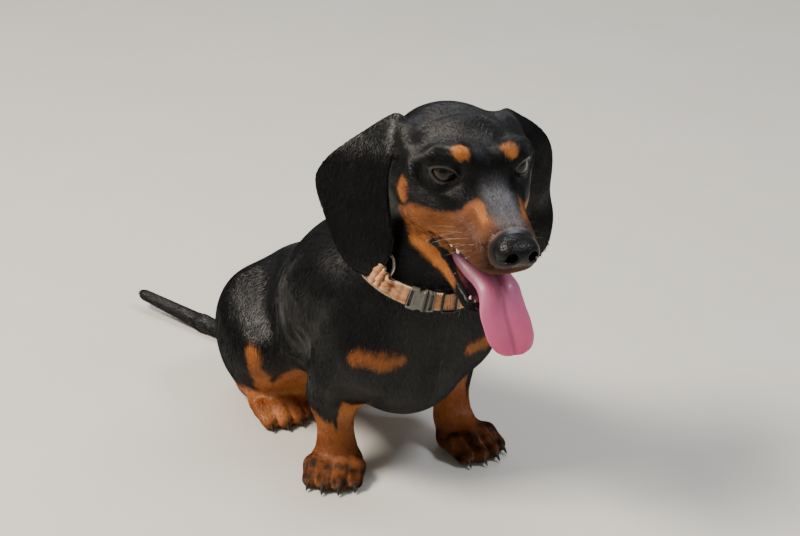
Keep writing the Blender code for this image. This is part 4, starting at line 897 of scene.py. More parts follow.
def head_markings(p):
    """Tan, its lightness, and painted sheen as pale grey hair, on the head."""
    q = in_head(p)
    m = mirrored(q)
    x, f, u = m[..., 0], q[..., 1], q[..., 2]
    rough = uneven(p, 0.004, 3) * 0.0005 + uneven(p, 0.0012, 4) * 0.0004
    brow = np.minimum(egg(q, BROWS[0], (0.0054, 0.0066, 0.0042)), egg(q, BROWS[1], (0.0046, 0.0066, 0.0042)))
    cheek = egg(m, CHEEK, (0.0160, 0.0046, 0.0080))
    saddle = np.where(q[..., 0] < 0, *(stations(f, SADDLE_FROM, SADDLE[k]) for k in (-1, 1)))
    top = np.minimum(u - stations(f, TAN_FROM, TAN_UPPER), saddle - x)
    side = np.maximum(top, stations(f, TAN_FROM, TAN_LOWER) - u)
    side = np.maximum(side, 0.0015 - f)
    on_jaw = (lower_jaw(q) < muzzle(q)) & (f > 0.0140)
    side = np.where(on_jaw, np.maximum(side, u - stations(f, LIP_LINE_FROM, LIP_LINE)), side)
    tan = np.maximum(np.maximum(blot(brow + rough, 0.0018), blot(cheek + rough, 0.0034)), blot(side + rough, 0.0030))
    light = 0.50 + 0.45 * blot(brow, 0.01) + 0.22 * blot(cheek, 0.01) + 0.10 * uneven(p, 0.010, 5)
    light += 0.22 * smooth_step((-0.030 - u) / 0.012)
    # sooty hair over the front of the muzzle, with dotted rows of whisker roots
    sooty = smooth_step((f - 0.030) / 0.030)
    dark = smooth_step((f - 0.036) / 0.012) * smooth_step((u + 0.032) / 0.01) * smooth_step((0.000 - u) / 0.008)
    rows = (np.sin(u * 2 * np.pi / 0.0042 + f * 160) * np.sin(f * 2 * np.pi / 0.0050 + u * 300)) * 0.5 + 0.5
    # painted highlight: a lighter, less sooty tan strip on each side where the top of the muzzle turns down to its
    # side, as light catches that edge
    painted_highlight_strip = blot(np.abs(x - 0.0120) - 0.0022, 0.002) * smooth_step((f - 0.046) / 0.006) * smooth_step((0.066 - f) / 0.006)
    painted_highlight_strip = painted_highlight_strip * (u > -0.004)
    light = light * (1 - 0.30 * sooty) + 0.34 * painted_highlight_strip
    tan = tan * (1 - 0.34 * sooty * (1 - painted_highlight_strip) - 0.30 * dark * rows)
    tan = tan * (1 - 0.5 * blot(nose(p) - 0.0055, 0.0060))
    # painted sheen: pale grey over the top of the muzzle, where light glances off the glossy hair
    painted_sheen = smooth_step((f - 0.034) / 0.014) * blot(x - 0.0085, 0.008) * smooth_step((u + 0.004) / 0.006)
    # the flaps of the ears stay black
    flap = np.minimum(ear(p, 1), ear(p, -1)) < flesh(p) - 0.0004
    return np.where(flap, 0, tan), light, painted_sheen


def body_markings(p):
    """Tan and its lightness on trunk, legs and tail, with no painted sheen."""
    m = mirrored(p)
    rough = uneven(p, 0.009, 6) * 0.0012 + uneven(p, 0.0030, 7) * 0.0007
    patch = np.minimum(*(chain(sided(p, side), CHEST[side], [0.0042, 0.0050, 0.0052], 0.004) for side in (1, -1)))
    tan = blot(patch + rough, 0.0050)
    light = 0.52 + 0.10 * uneven(p, 0.02, 8) + np.zeros(p.shape[:-1])
    for side in (1, -1):
        q = sided(p, side)
        elbow, wrist, toe = FORELEG[side]
        t = np.clip((q[..., 2] - wrist[2]) / (elbow[2] - wrist[2]), -0.6, 1.4)
        centre = np.array(wrist[:2]) + t[..., None] * (np.array(elbow[:2]) - np.array(wrist[:2]))
        outer = np.degrees(np.arctan2(q[..., 0] - centre[..., 0], -(q[..., 1] - centre[..., 1])))
        outer = np.where(outer < -90, outer + 270, outer)
        sleeve = q[..., 2] - stations(outer, *SLEEVE_AT[side])
        ahead = np.hypot(q[..., 0] - centre[..., 0], q[..., 1] - centre[..., 1]) - 0.027
        low = blot(q[..., 2] - 0.022, 0.01)
        near = (q[..., 0] > 0.008) & (q[..., 1] < -0.014)
        leg = blot(np.maximum(sleeve, ahead * (1 - low)) + rough, 0.0045) * near
        tan = np.maximum(tan, leg)
        light -= 0.16 * leg * smooth_step((0.050 - p[..., 2]) / 0.03)
    shank = chain(m, [(0.0655, 0.024, 0.061), (0.0600, 0.026, 0.040), (0.054, 0.030, 0.020)], [0.0062, 0.0080, 0.010], 0.003)
    inner = egg(m, (0.026, 0.030, 0.030), (0.024, 0.045, 0.026))
    hock = np.maximum(m[..., 2] - 0.024, -(m[..., 1] + 0.004))
    hock = np.maximum(hock, np.maximum(m[..., 1] - 0.078, 0.018 - m[..., 0]))
    vent = egg(p, (0, 0.106, 0.006), (0.020, 0.018, 0.010))
    under = np.where(p[..., 1] > 0.108, chain(p - vec(0, 0, -0.0080), TAIL[1:4], [0.006, 0.005, 0.003], 0.002), 1)
    tan = np.maximum(tan, blot(np.minimum(np.minimum(shank, inner), np.minimum(hock, vent)) + rough, 0.0050))
    tan = np.maximum(tan, blot(np.minimum(under, 1) + rough, 0.0030))
    # dark pencil lines on the toes
    for side in (1, -1):
        q = sided(p, side)
        for (wrist, toe), floor_level in ((FORELEG[side][1:], 0.0135), ((PASTERN, HIND_TOE), 0.0145)):
            for root, knuckle, tip in toe_lines(wrist, toe)[0]:
                d = limb(q, (knuckle[0], knuckle[1], floor_level), (tip[0], tip[1], 0.0095), 0.0008, 0.0017)
                tan *= 1 - 0.80 * blot(d + rough * 0.3, 0.0022) * (q[..., 0] > 0.005)
    return tan, light, np.zeros(p.shape[:-1])


def markings(p):
    """Tan, its lightness, and painted sheen at any place: the head's above the collar, the body's below."""
    level = (p - np.array(COLLAR_AT)) @ COLLAR_UP
    on_head = blot(-level, 0.004)
    return [a * on_head + b * (1 - on_head) for a, b in zip(head_markings(p), body_markings(p))]


def outer_head(q):
    """The head with its mouth filled and its eyes whole."""
    return join(join(cranium(q), muzzle(q), 0.012), lower_jaw(q), 0.006)


def bare_parts(p, normals):
    """Black leather, wet lining of the mouth, and pads."""
    q = in_head(p)
    m = mirrored(q)
    close = q[..., 1] > -0.004
    hollow, depth = np.ones(len(p), REAL), np.zeros(len(p), REAL)
    hollow[close] = mouth_hollow(q[close])
    depth[close] = -outer_head(q[close])
    open_face = (q[..., 1] > 0.006) & (np.abs(q[..., 0]) < 0.040) & (q[..., 2] < 0.040)
    inside = smooth_step((depth - 0.0008) / 0.0014) * (hollow < 0.003) * (q[..., 1] > 0.012) * (q[..., 2] < -0.012)
    rim_width = 0.0010 + 0.0012 * smooth_step((q[..., 1] - 0.018) / 0.016)
    lips = blot(np.abs(hollow) - rim_width + uneven(p, 0.003, 9) * 0.0003, 0.0010) * (1 - inside) * open_face
    rims = blot(eye_slit(m) - 0.0016, 0.0009) * blot(ball(m, EYE_AT, EYE_RADIUS + LID) - 0.0018, 0.001) * open_face
    edge = blot(nose(p) - 0.0024, 0.0022) * open_face
    pads = smooth_step((-normals[..., 2] - 0.55) / 0.2) * smooth_step((0.006 - p[..., 2]) / 0.003) * (p[..., 1] < 0.05)
    pads = pads * (np.abs(p[..., 0]) > 0.02)
    return np.maximum(np.maximum(lips, rims), edge), inside, pads


def paint(obj, name, columns):
    """Four values at each point, kept as a colour attribute."""
    layer = obj.data.color_attributes.new(name, "FLOAT_COLOR", "POINT")
    layer.data.foreach_set("color", np.stack(columns, 1).astype(REAL).ravel())


def hair_colours(tree):
    """The colour of the hair from the coat attribute: tan, its lightness, painted sheen in pale grey, and each tuft's
    own shade.
    """
    dye = add(tree, "Attribute", attribute_name="coat")
    parts = add(tree, "SeparateColor", {"Color": dye.outputs["Color"]})
    own = dye.outputs["Alpha"]
    where = add(tree, "TexCoord")
    mottle = add(tree, "TexNoise", {"Vector": where.outputs["Object"], "Scale": 60.0, "Detail": 3.0})
    shade = add(tree, "Math", {0: own, 1: mottle.outputs["Fac"]}, operation="MULTIPLY")
    black = add(tree, "ValToRGB", {"Fac": shade.outputs[0]})
    ramp = black.color_ramp
    ramp.elements[0].position, ramp.elements[0].color = 0.05, linear("#050506")
    ramp.elements[1].position, ramp.elements[1].color = 0.60, linear("#0f0e11")
    lighter = add(tree, "MapRange", {"Value": own, "From Min": 0.0, "From Max": 1.0, "To Min": -0.22, "To Max": 0.22})
    level = add(tree, "Math", {0: parts.outputs["Green"], 1: lighter.outputs[0]}, operation="ADD")
    rust = add(tree, "ValToRGB", {"Fac": level.outputs[0]})
    ramp = rust.color_ramp
    ramp.elements[0].position, ramp.elements[0].color = 0.0, linear("#693618")
    ramp.elements[1].position, ramp.elements[1].color = 1.0, linear("#dd9347")
    middle = ramp.elements.new(0.5)
    middle.color = linear("#ad6532")
    coat = add(tree, "MixRGB", {"Fac": parts.outputs["Red"], "Color1": black.outputs["Color"],
                                "Color2": rust.outputs["Color"]})
    # painted sheen: a pale grey mixed in by the sheen mask, more on some tufts than on others
    some = add(tree, "MapRange", {"Value": own, "From Min": 0.15, "From Max": 0.95, "To Min": 0.15, "To Max": 1.0})
    painted_sheen = add(tree, "Math", {0: some.outputs[0], 1: parts.outputs["Blue"]}, operation="MULTIPLY")
    return add(tree, "MixRGB", {"Fac": painted_sheen.outputs[0], "Color1": coat.outputs["Color"],
                                "Color2": linear("#8f8e93")}).outputs["Color"], where, parts


# live hide under short hair: hair-coloured and silky where it is clothed, black leather and wet lining where bare
hide_look, tree, shader = surface("short_coated_hide", Sheen_Weight=0.06, Sheen_Roughness=0.40)
shader.inputs["Sheen Tint"].default_value = linear("#9fb0cf")
hair, where, parts = hair_colours(tree)
bare = add(tree, "Attribute", attribute_name="bare")
bare_parts_of = add(tree, "SeparateColor", {"Color": bare.outputs["Color"]})
leathery = add(tree, "MixRGB", {"Fac": bare_parts_of.outputs["Red"], "Color1": hair, "Color2": linear("#141113")})
blotches = add(tree, "TexNoise", {"Vector": where.outputs["Object"], "Scale": 140.0, "Detail": 3.0})
gum = add(tree, "ValToRGB", {"Fac": blotches.outputs["Fac"]})
gum.color_ramp.elements[0].position, gum.color_ramp.elements[0].color = 0.42, linear("#3b232c")
gum.color_ramp.elements[1].position, gum.color_ramp.elements[1].color = 0.66, linear("#7d4652")
wet = add(tree, "MixRGB", {"Fac": bare_parts_of.outputs["Green"], "Color1": leathery.outputs["Color"],
                           "Color2": gum.outputs["Color"]})
padded = add(tree, "MixRGB", {"Fac": bare_parts_of.outputs["Blue"], "Color1": wet.outputs["Color"],
                              "Color2": linear("#1d1719")})
tree.links.new(padded.outputs["Color"], shader.inputs["Base Color"])
gloss = add(tree, "MapRange", {"Value": bare_parts_of.outputs["Red"], "To Min": 0.46, "To Max": 0.38})
gloss_wet = add(tree, "MixRGB", {"Fac": bare_parts_of.outputs["Green"], "Color1": gloss.outputs[0],
                                 "Color2": linear("#585858")})
tree.links.new(gloss_wet.outputs["Color"], shader.inputs["Roughness"])
# hairs of 0.1 mm are drawn as a grain of about 0.5 mm so that it shows
hairs = add(tree, "TexNoise", {"Vector": where.outputs["Object"], "Scale": 1500.0, "Detail": 2.0})
grain = add(tree, "Bump", {"Height": hairs.outputs["Fac"], "Strength": 0.25, "Distance": 0.0003})
tree.links.new(grain.outputs["Normal"], shader.inputs["Normal"])

SKIN_NODES = {"body": [f"{part}_{side}" for part in ("foreleg", "forepaw", "hindleg", "hindpaw")
                       for side in ("left", "right")] + ["torso", "neck", "tail"],
              "head": ["head", "lower_jaw", "ear_left", "ear_right", "neck"]}
for name, s in skin.items():
    s["tan"], s["light"], s["painted_sheen"] = markings(s["points"].astype(REAL))
    s["leather"], s["wet"], s["pads"] = bare_parts(s["points"].astype(REAL), s["normals"])
    s["clothed"] = 1 - np.maximum(np.maximum(s["leather"], s["wet"]), s["pads"])
    obj = shaped("skin_" + name, s["points"], quads=s["quads"], material=hide_look)
    shade = 0.55 + 0.25 * uneven(s["points"], 0.006, 11)
    paint(obj, "coat", [s["tan"], s["light"], s["painted_sheen"], shade])
    paint(obj, "bare", [s["leather"], s["wet"], s["pads"], np.ones(len(shade))])
    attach(obj, "root")
    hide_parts(*SKIN_NODES[name])


# The coat
# Short, straight, glossy hair that lies flat, in tufts of many hairs each. A tuft is a slim spear with a ridge down
# its middle, rooted in the skin: three millimetres long on the face and feet, seven on the body. It lies from the
# nose back over the skull, down the neck, back and flanks, down the legs and ears, and out along the tail.
FACE_LIE = [((0, 0.075, 0.002), (0, -1, 0.15)), ((0.006, 0.06, 0.006), (0.1, -1, 0.25)),
            ((0.018, 0.06, -0.015), (0.15, -0.9, -0.35)), ((0.020, 0.04, -0.020), (0.2, -0.9, -0.35)),
            ((0.030, 0.015, -0.015), (0.2, -0.9, -0.4)), ((0.036, -0.010, -0.015), (0, -0.9, -0.5)),
            ((0.020, -0.030, -0.020), (0, -0.8, -0.6)), ((0, 0.035, 0.020), (0, -0.8, 0.6)),
            ((0, 0.020, 0.027), (0, -0.95, 0.3)), ((0.016, 0.030, 0.027), (0.4, -0.7, 0.55)),
            ((0.012, 0.030, 0.013), (-0.1, -0.7, 0.7)), ((0.030, 0.020, 0.020), (0.5, -0.8, 0.2)),
            ((0.028, 0.024, 0.004), (0.4, -0.8, -0.4)), ((0, -0.020, 0.032), (0, -1, -0.1)),
            ((0.020, -0.020, 0.028), (0.3, -0.9, -0.3)), ((0.037, -0.015, 0.010), (0.1, -0.8, -0.6)),
            ((0, -0.050, 0.012), (0, -0.5, -0.85)), ((0.020, -0.045, 0), (0, -0.4, -0.9)),
            ((0, 0.060, -0.060), (0, -0.87, 0.5)), ((0.018, 0.040, -0.050), (0.1, -0.85, 0.4)),
            ((0.020, 0.010, -0.045), (0, -0.9, 0.1)), ((0, 0, -0.045), (0, -0.8, -0.6))]
BODY_LIE = [((0, -0.075, 0.190), (0, 0.5, -0.87)), ((0.030, -0.080, 0.165), (0.05, 0.4, -0.92)),
            ((0.010, -0.120, 0.165), (0, 0.2, -1)), ((0, -0.130, 0.120), (0.1, 0.05, -1)),
            ((0.020, -0.110, 0.080), (0.2, 0.5, -0.8)), ((0.050, -0.080, 0.130), (0.1, 0.35, -0.9)),
            ((0.058, -0.050, 0.100), (0.1, 0.2, -1)), ((0, -0.030, 0.165), (0, 0.75, -0.65)),
            ((0, 0.050, 0.110), (0, 0.65, -0.75)), ((0, 0.095, 0.060), (0, 0.3, -0.95)),
            ((0, 0.110, 0.030), (0, 0.85, -0.5)), ((0.055, 0, 0.110), (0, 0.6, -0.8)),
            ((0.050, 0.030, 0.100), (0.1, 0.2, -0.95)), ((0.060, 0.040, 0.070), (0.1, -0.35, -0.9)),
            ((0.055, 0.080, 0.060), (0, 0.1, -1)), ((0.060, -0.020, 0.060), (0, -0.2, -1)),
            ((0.052, 0.035, 0.030), (0, 0.35, -0.9)), ((0.045, 0.070, 0.020), (0, 0.1, -1)),
            ((0, -0.030, 0.060), (0, 0.8, -0.2)), ((0.045, -0.060, 0.060), (0, 0.05, -1)),
            ((0.045, -0.056, 0.035), (0, -0.1, -1)), ((0.050, -0.080, 0.015), (0, -0.9, -0.45)),
            ((0.040, 0.030, 0.012), (0, -0.9, -0.4))]
TAIL_LIE = [((0, 0.115, 0.012), (-0.2, 1, -0.2)), ((-0.012, 0.138, 0.007), (-0.28, 0.95, 0)),
            ((-0.028, 0.184, 0.007), (-0.33, 0.93, 0.1)), ((-0.048, 0.240, 0.015), (-0.33, 0.93, 0.15))]


def lie_of(p, guides, near):
    """The lie of the hair: the guides' ways, each weighed by its nearness."""
    at, way = (np.array([g[k] for g in guides], REAL) for k in (0, 1))
    way /= np.linalg.norm(way, axis=1, keepdims=True)
    total = np.zeros(p.shape, REAL)
    for a, w in zip(at, way):
        total += w / (((p - a) ** 2).sum(-1, keepdims=True) + REAL(near**2)) ** 2
    return total


def lie(p, on_ear, on_head, on_tail):
    q = in_head(p)
    sign = np.where(q[:, :1] < 0, -1, 1).astype(REAL)
    face = lie_of(mirrored(q), FACE_LIE, 0.006)
    face[:, :1] *= sign
    way = face @ HEAD_AXES.T
    way /= np.linalg.norm(way, axis=1, keepdims=True)
    sign = np.where(p[:, :1] < 0, -1, 1).astype(REAL)
    trunk_way = lie_of(mirrored(p), BODY_LIE, 0.014)
    trunk_way[:, :1] *= sign
    trunk_way /= np.linalg.norm(trunk_way, axis=1, keepdims=True)
    way = np.where(on_head[:, None], way, trunk_way)
    tail_way = lie_of(p, TAIL_LIE, 0.01)
    way = np.where(on_tail[:, None], tail_way / np.linalg.norm(tail_way, axis=1, keepdims=True), way)
    ear_sign = np.where(q[:, :1] < 0, -1, 1).astype(REAL)
    ear_way = np.concatenate([0.15 * ear_sign, np.full_like(ear_sign, 0.18), np.full_like(ear_sign, -1.0)], 1)
    return np.where(on_ear[:, None], ear_way, way)


def scattered(s, many, chance):
    """Places spread over the skin, as many on each quad as its area and the coat there ask."""
    corners = s["points"][s["quads"]]
    area = 0.5 * np.linalg.norm(np.cross(corners[:, 2] - corners[:, 0], corners[:, 3] - corners[:, 1]), axis=1)
    number = np.floor(area * many + chance.random(len(area))).astype(int)
    which = np.repeat(np.arange(len(area)), number)
    u, v = chance.random((2, len(which)))
    share = np.stack([(1 - u) * (1 - v), u * (1 - v), u * v, (1 - u) * v], 1)
    return which, share


def spread(values, s, which, share):
    return (values[s["quads"][which]] * (share if values.ndim == 1 else share[..., None])).sum(1)


COVER = 2.5
EAR_PLUMB = {side: from_head([EAR_AT[0] * side, EAR_AT[1], EAR_AT[2]]) for side in (1, -1)}


def hair_sizes(p, on_ear, on_head, on_tail):
    """Length and width of a tuft at each place, in metres."""
    q = in_head(p)
    from_nose = np.linalg.norm(q - np.array([0, 0.07, -0.01]), axis=-1)
    length = np.where(on_head, 0.0021 + 0.0023 * smooth_step(from_nose / 0.11),
                      0.0066 - 0.0020 * smooth_step((-0.045 - p[..., 1]) / 0.04))
    length = np.where(on_ear, 0.0048, length)
    low = smooth_step((0.075 - p[..., 2]) / 0.045) * (p[..., 1] < 0.05) * ~on_head
    length = np.where(on_head | on_ear | on_tail, length, length - 0.0034 * low)
    width = 0.00014 + 0.052 * length
    return length, width


def spears(s, chance, cover=COVER):
    """Roots, and the four corners of each tuft: root, both sides at a third of its length, and tip."""
    corners = s["points"][s["quads"]].mean(1).astype(REAL)
    flap = np.minimum(ear(corners, 1), ear(corners, -1))
    far = flesh(corners)
    on_ear = flap < far - 0.0006
    level = (corners - np.array(COLLAR_AT)) @ COLLAR_UP
    on_head = level > 0
    on_tail = (corners[:, 1] > 0.104) & (corners[:, 2] < 0.03)
    length, width = hair_sizes(corners, on_ear, on_head, on_tail)
    which, share = scattered(s, cover / (length * width * 0.5), chance)
    root = spread(s["points"], s, which, share)
    normal = spread(s["normals"], s, which, share)
    normal /= np.linalg.norm(normal, axis=1, keepdims=True)
    clothed = spread(s["clothed"], s, which, share)
    strap = np.abs((root - np.array(COLLAR_AT)) @ COLLAR_UP) < 0.0056
    keep = (clothed > chance.uniform(0.35, 0.9, len(root))) & ~(strap & ~on_ear[which]) & (root[:, 2] > 0.0006)
    which, share, root, normal = which[keep], share[keep], root[keep], normal[keep]
    n = len(root)
    length = length[which] * chance.uniform(0.72, 1.22, n) * (0.55 + 0.45 * clothed[keep])
    width = width[which] * chance.uniform(0.8, 1.25, n)
    way = lie(root.astype(REAL), on_ear[which], on_head[which], on_tail[which]).astype(float)
    way += chance.normal(0, 0.09, (n, 3)) + 0.16 * np.stack([uneven(root, 0.02, 20 + k) for k in range(3)], 1)
    way -= normal * (way * normal).sum(1, keepdims=True)
    way /= np.linalg.norm(way, axis=1, keepdims=True)
    across = np.cross(normal, way)
    roll = np.radians(chance.normal(0, 6, n))[:, None]
    tip = root + way * length[:, None]
    middle = root + way * (length * 0.36)[:, None]
    for place, lift in ((middle, 0.00024), (tip, 0.00040)):
        out = slope(s["grid"], s["low"], s["step"], place)
        off = sample(s["grid"], s["low"], s["step"], place)
        off = np.clip(off, -0.0025, 0.0025)
        place += out * (lift * chance.uniform(0.6, 1.3, n) - off)[:, None]
    root = root - normal * 0.0003
    sideways = across * np.cos(roll) + normal * np.sin(roll)
    left = middle + sideways * (width / 2)[:, None] - normal * (width * 0.22)[:, None]
    right = middle - sideways * (width / 2)[:, None] - normal * (width * 0.22)[:, None]
    points = np.stack([root, left, tip, right], 1)
    points[..., 2] = np.maximum(points[..., 2], 0.0002)
    return which, share, normal, points, on_ear[which], on_head[which], on_tail[which]


def unwrap(root, normal, chance):
    """Twelve charts of the skin's own shape, by the side it faces and the half of the body it is on."""
    face = np.abs(normal).argmax(1)
    sign = (np.take_along_axis(normal, face[:, None], 1)[:, 0] > 0).astype(int)
    half = (root[:, 0] > root[:, 0].mean()).astype(int)
    chart = face * 4 + sign * 2 + half
    flat = np.where(face[:, None] == 0, root[:, [1, 2]], np.where(face[:, None] == 1, root[:, [0, 2]], root[:, [0, 1]]))
    uv = np.zeros((len(root), 2))
    for c in range(12):
        on = chart == c
        if on.any():
            low, high = flat[on].min(0), flat[on].max(0)
            cell = (flat[on] - low) / max((high - low).max(), 1e-6)
            uv[on] = (np.array([c % 4, c // 4]) + 0.02 + cell * 0.95) / np.array([4, 3])
    return uv


# straight guard hair, glossy, each tuft of its own shade
hair_look, tree, shader = surface("short_guard_hair", Roughness=0.36, Sheen_Weight=0.06, Sheen_Roughness=0.35)
shader.inputs["Sheen Tint"].default_value = linear("#a9bbdc")
shader.inputs["Specular IOR Level"].default_value = 0.34
hair, where, parts = hair_colours(tree)
tree.links.new(hair, shader.inputs["Base Color"])

chance = np.random.default_rng(17)
for name, s in skin.items():
    which, share, normal, points, on_ear, on_head, on_tail = spears(s, chance, COVER)
    root = points[:, 0]
    columns = [spread(s[k], s, which, share) for k in ("tan", "light", "painted_sheen")]
    own = chance.random(len(root))
    q = in_head(root.astype(REAL))
    if name == "head":
        region = np.select([on_ear & (q[:, 0] > 0), on_ear, q[:, 1] > 0.012, q[:, 0] > 0], [0, 1, 2, 3], 4)
        titles = ["coat_ear_left", "coat_ear_right", "coat_face", "coat_skull_left", "coat_skull_right"]
        stands_for = ["ear_left", "ear_right", "head", "head", "head"]
    else:
        leg = (root[:, 2] < 0.066) & (np.abs(root[:, 0]) > 0.018)
        fore = leg & (root[:, 1] < -0.012)
        region = np.select([on_tail, fore & (root[:, 0] > 0), fore, leg & (root[:, 2] < 0.05), root[:, 1] < -0.060,
                            root[:, 0] > 0], [0, 1, 2, 3, 4, 5], 6)
        titles = ["coat_tail", "coat_foreleg_left", "coat_foreleg_right", "coat_hindlegs", "coat_chest",
                  "coat_trunk_left", "coat_trunk_right"]
        stands_for = ["tail", "foreleg_left", "foreleg_right", "hindleg_left", "torso", "torso", "torso"]
    for k, title in enumerate(titles):
        on = region == k
        tuft = points[on]
        n = len(tuft)
        index = np.arange(n)[:, None] * 4
        tris = np.concatenate([index + [0, 2, 1], index + [0, 3, 2]])
        obj = shaped(title, tuft.reshape(-1, 3), tris=tris, material=hair_look)
        paint(obj, "coat", [np.repeat(c[on], 4) for c in columns] + [np.repeat(own[on], 4)])
        uv = unwrap(root[on], normal[on], chance)
        patch = np.array([(0.0, -0.0015), (-0.0015, 0.0), (0.0, 0.0015), (0.0015, 0.0)])
        uv = uv[:, None, :] + patch
        layer = obj.data.uv_layers.new(name="OFBake")
        layer.data.foreach_set("uv", uv.reshape(-1, 2)[tris.ravel()].astype(REAL).ravel())
        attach(obj, "root")
        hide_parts(stands_for[k])
        print("COAT", title, n * 2, flush=True)


# Eyes
# Wet globes, olive brown. The clear front bulges a little over the iris; a dark ring bounds it. Each looks where
# the photographed dog looks: the pupil's pixel gives the line of sight that meets the globe.
PUPIL_PIXEL = {-1: (443.0, 173.0), 1: (523.0, 168.0)}
IRIS, PUPIL = 0.0062, 0.0021
PHOTO_SIZE = (800, 536)


def pixel_line(pixel):
    """The way from the camera through a pixel of the photo."""
    half_width = 18.0 / camera.data.lens
    u = (pixel[0] / PHOTO_SIZE[0] * 2 - 1) * half_width
    v = (1 - pixel[1] / PHOTO_SIZE[1] * 2) * half_width * PHOTO_SIZE[1] / PHOTO_SIZE[0]
    turn = np.array(camera.rotation_euler.to_matrix())
    way = turn @ np.array([u, v, -1.0])
    return way / np.linalg.norm(way)


# living cornea over an olive iris: glassy wet, radial fibres, dark rim and black pupil
wet_eye, tree, shader = surface("wet_cornea_over_iris", Roughness=0.12, Coat_Weight=0.30, Coat_Roughness=0.02)
shader.inputs["Specular IOR Level"].default_value = 0.12
layer = add(tree, "Attribute", attribute_name="iris")
split = add(tree, "SeparateColor", {"Color": layer.outputs["Color"]})
ring_of = add(tree, "CombineXYZ", {"X": split.outputs["Green"], "Y": split.outputs["Blue"]})
fibres = add(tree, "TexNoise", {"Vector": ring_of.outputs[0], "Scale": 14.0, "Detail": 4.0})
sway = add(tree, "MapRange", {"Value": fibres.outputs["Fac"], "To Min": -0.05, "To Max": 0.05})
reach = add(tree, "Math", {0: split.outputs["Red"], 1: sway.outputs[0]}, operation="ADD")
rings = add(tree, "ValToRGB", {"Fac": reach.outputs[0]})
ramp = rings.color_ramp
ramp.elements[0].position, ramp.elements[0].color = 0.19, linear("#050404")
ramp.elements[1].position, ramp.elements[1].color = 0.80, linear("#362b27")
for at, code in ((0.25, "#1a130a"), (0.36, "#2d2211"), (0.48, "#261b0c"), (0.57, "#150e08"), (0.62, "#070505"),
                 (0.70, "#1d1513")):
    ramp.elements.new(at).color = linear(code)
tree.links.new(rings.outputs["Color"], shader.inputs["Base Color"])

for side, node in ((1, "eye_left"), (-1, "eye_right")):
    centre = from_head([EYE_AT[0] * side, EYE_AT[1], EYE_AT[2]])
    ball_radius = EYE_RADIUS * HEAD_SCALE
    start, way = np.array(camera.location) - SHIFT, pixel_line(PUPIL_PIXEL[side])
    nearest = (centre - start) @ way
    gap = np.linalg.norm(start + way * nearest - centre)
    gaze = start + way * (nearest - np.sqrt(max(ball_radius**2 - gap**2, 0))) - centre
    gaze /= np.linalg.norm(gaze)
    side_way = np.cross([0, 0, 1.0], gaze)
    side_way /= np.linalg.norm(side_way)
    up_way = np.cross(gaze, side_way)
    # rings from the pupil back; radius from the axis is r sin a, and the clear front swells over the iris
    a, b = np.meshgrid(np.linspace(0, np.pi, 73), np.linspace(0, 2 * np.pi, 73)[:-1], indexing="ij")
    off = ball_radius * np.sin(a)
    swell = 0.00055 * smooth_step(1.25 - off / IRIS) * (a < np.pi / 2)
    r = ball_radius - 0.0003 + swell
    points = (np.cos(a) * r)[..., None] * gaze + (np.sin(a) * np.cos(b) * r)[..., None] * side_way
    points = points + (np.sin(a) * np.sin(b) * r)[..., None] * up_way + centre
    rows, columns = a.shape
    quads = sheet_of_points(rows, columns + 1)
    quads = np.where(quads % (columns + 1) == columns, quads - columns, quads)
    quads = quads - quads // (columns + 1)
    obj = shaped(f"globe_{node[4:]}", points.reshape(-1, 3), quads=quads, material=wet_eye)
    colour = np.where(a < np.pi / 2, off, 0.0095) / 0.0100
    paint(obj, "iris", [colour.ravel(), (np.cos(b) * 0.5 + 0.5).ravel(), (np.sin(b) * 0.5 + 0.5).ravel(), np.ones(a.size)])
    welded = bmesh.new()
    welded.from_mesh(obj.data)
    bmesh.ops.remove_doubles(welded, verts=welded.verts, dist=1e-6)
    bmesh.ops.recalc_face_normals(welded, faces=welded.faces)
    welded.to_mesh(obj.data)
    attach(obj, "root")
    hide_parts(node)


# Nose
# Bare leather with a pebbled skin, always damp, with comma-shaped nostrils and a groove between them.
NOSE_STEP = 0.00055
low = from_head([0, 0.078, -0.010]) - 0.020


def damp_nose(p):
    """The solid's nose with its nostrils opened wider and swept back into their side slits."""
    m = mirrored(in_head(p))
    d = nose(p) / REAL(HEAD_SCALE)
    d = carve(d, limb(m, (0.0056, 0.0925, -0.0086), (0.0068, 0.0850, -0.0088), 0.0030, 0.0028), 0.0012)
    return carve(d, limb(m, (0.0070, 0.0910, -0.0096), (0.0128, 0.0840, -0.0118), 0.0014, 0.0010), 0.0012) * REAL(HEAD_SCALE)


d = in_parts(damp_nose, (low + np.stack(np.meshgrid(*[np.arange(74)] * 3, indexing="ij"), -1).reshape(-1, 3)
                                 * NOSE_STEP).astype(REAL)).reshape(74, 74, 74)
points, quads = net(d, low, NOSE_STEP)
points = relaxed(points, quads, d, low, NOSE_STEP)
leather, tree, shader = surface("damp_nose_leather", Roughness=0.34)
shader.inputs["Specular IOR Level"].default_value = 0.24
where = add(tree, "TexCoord")
pebbles = add(tree, "TexVoronoi", {"Vector": where.outputs["Object"], "Scale": 1150.0}, feature="SMOOTH_F1")
bumps = add(tree, "Bump", {"Height": pebbles.outputs["Distance"], "Strength": 0.55, "Distance": 0.0005}, invert=True)
tree.links.new(bumps.outputs["Normal"], shader.inputs["Normal"])
# painted shade: the leather darkens in the cracks between the pebbles
tint = add(tree, "MixRGB", {"Fac": pebbles.outputs["Distance"], "Color1": linear("#0d0c0e"), "Color2": linear("#050505")})
tree.links.new(tint.outputs["Color"], shader.inputs["Base Color"])
obj = shaped("nose_pad", points, quads=quads, material=leather)
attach(obj, "root")
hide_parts("nose")


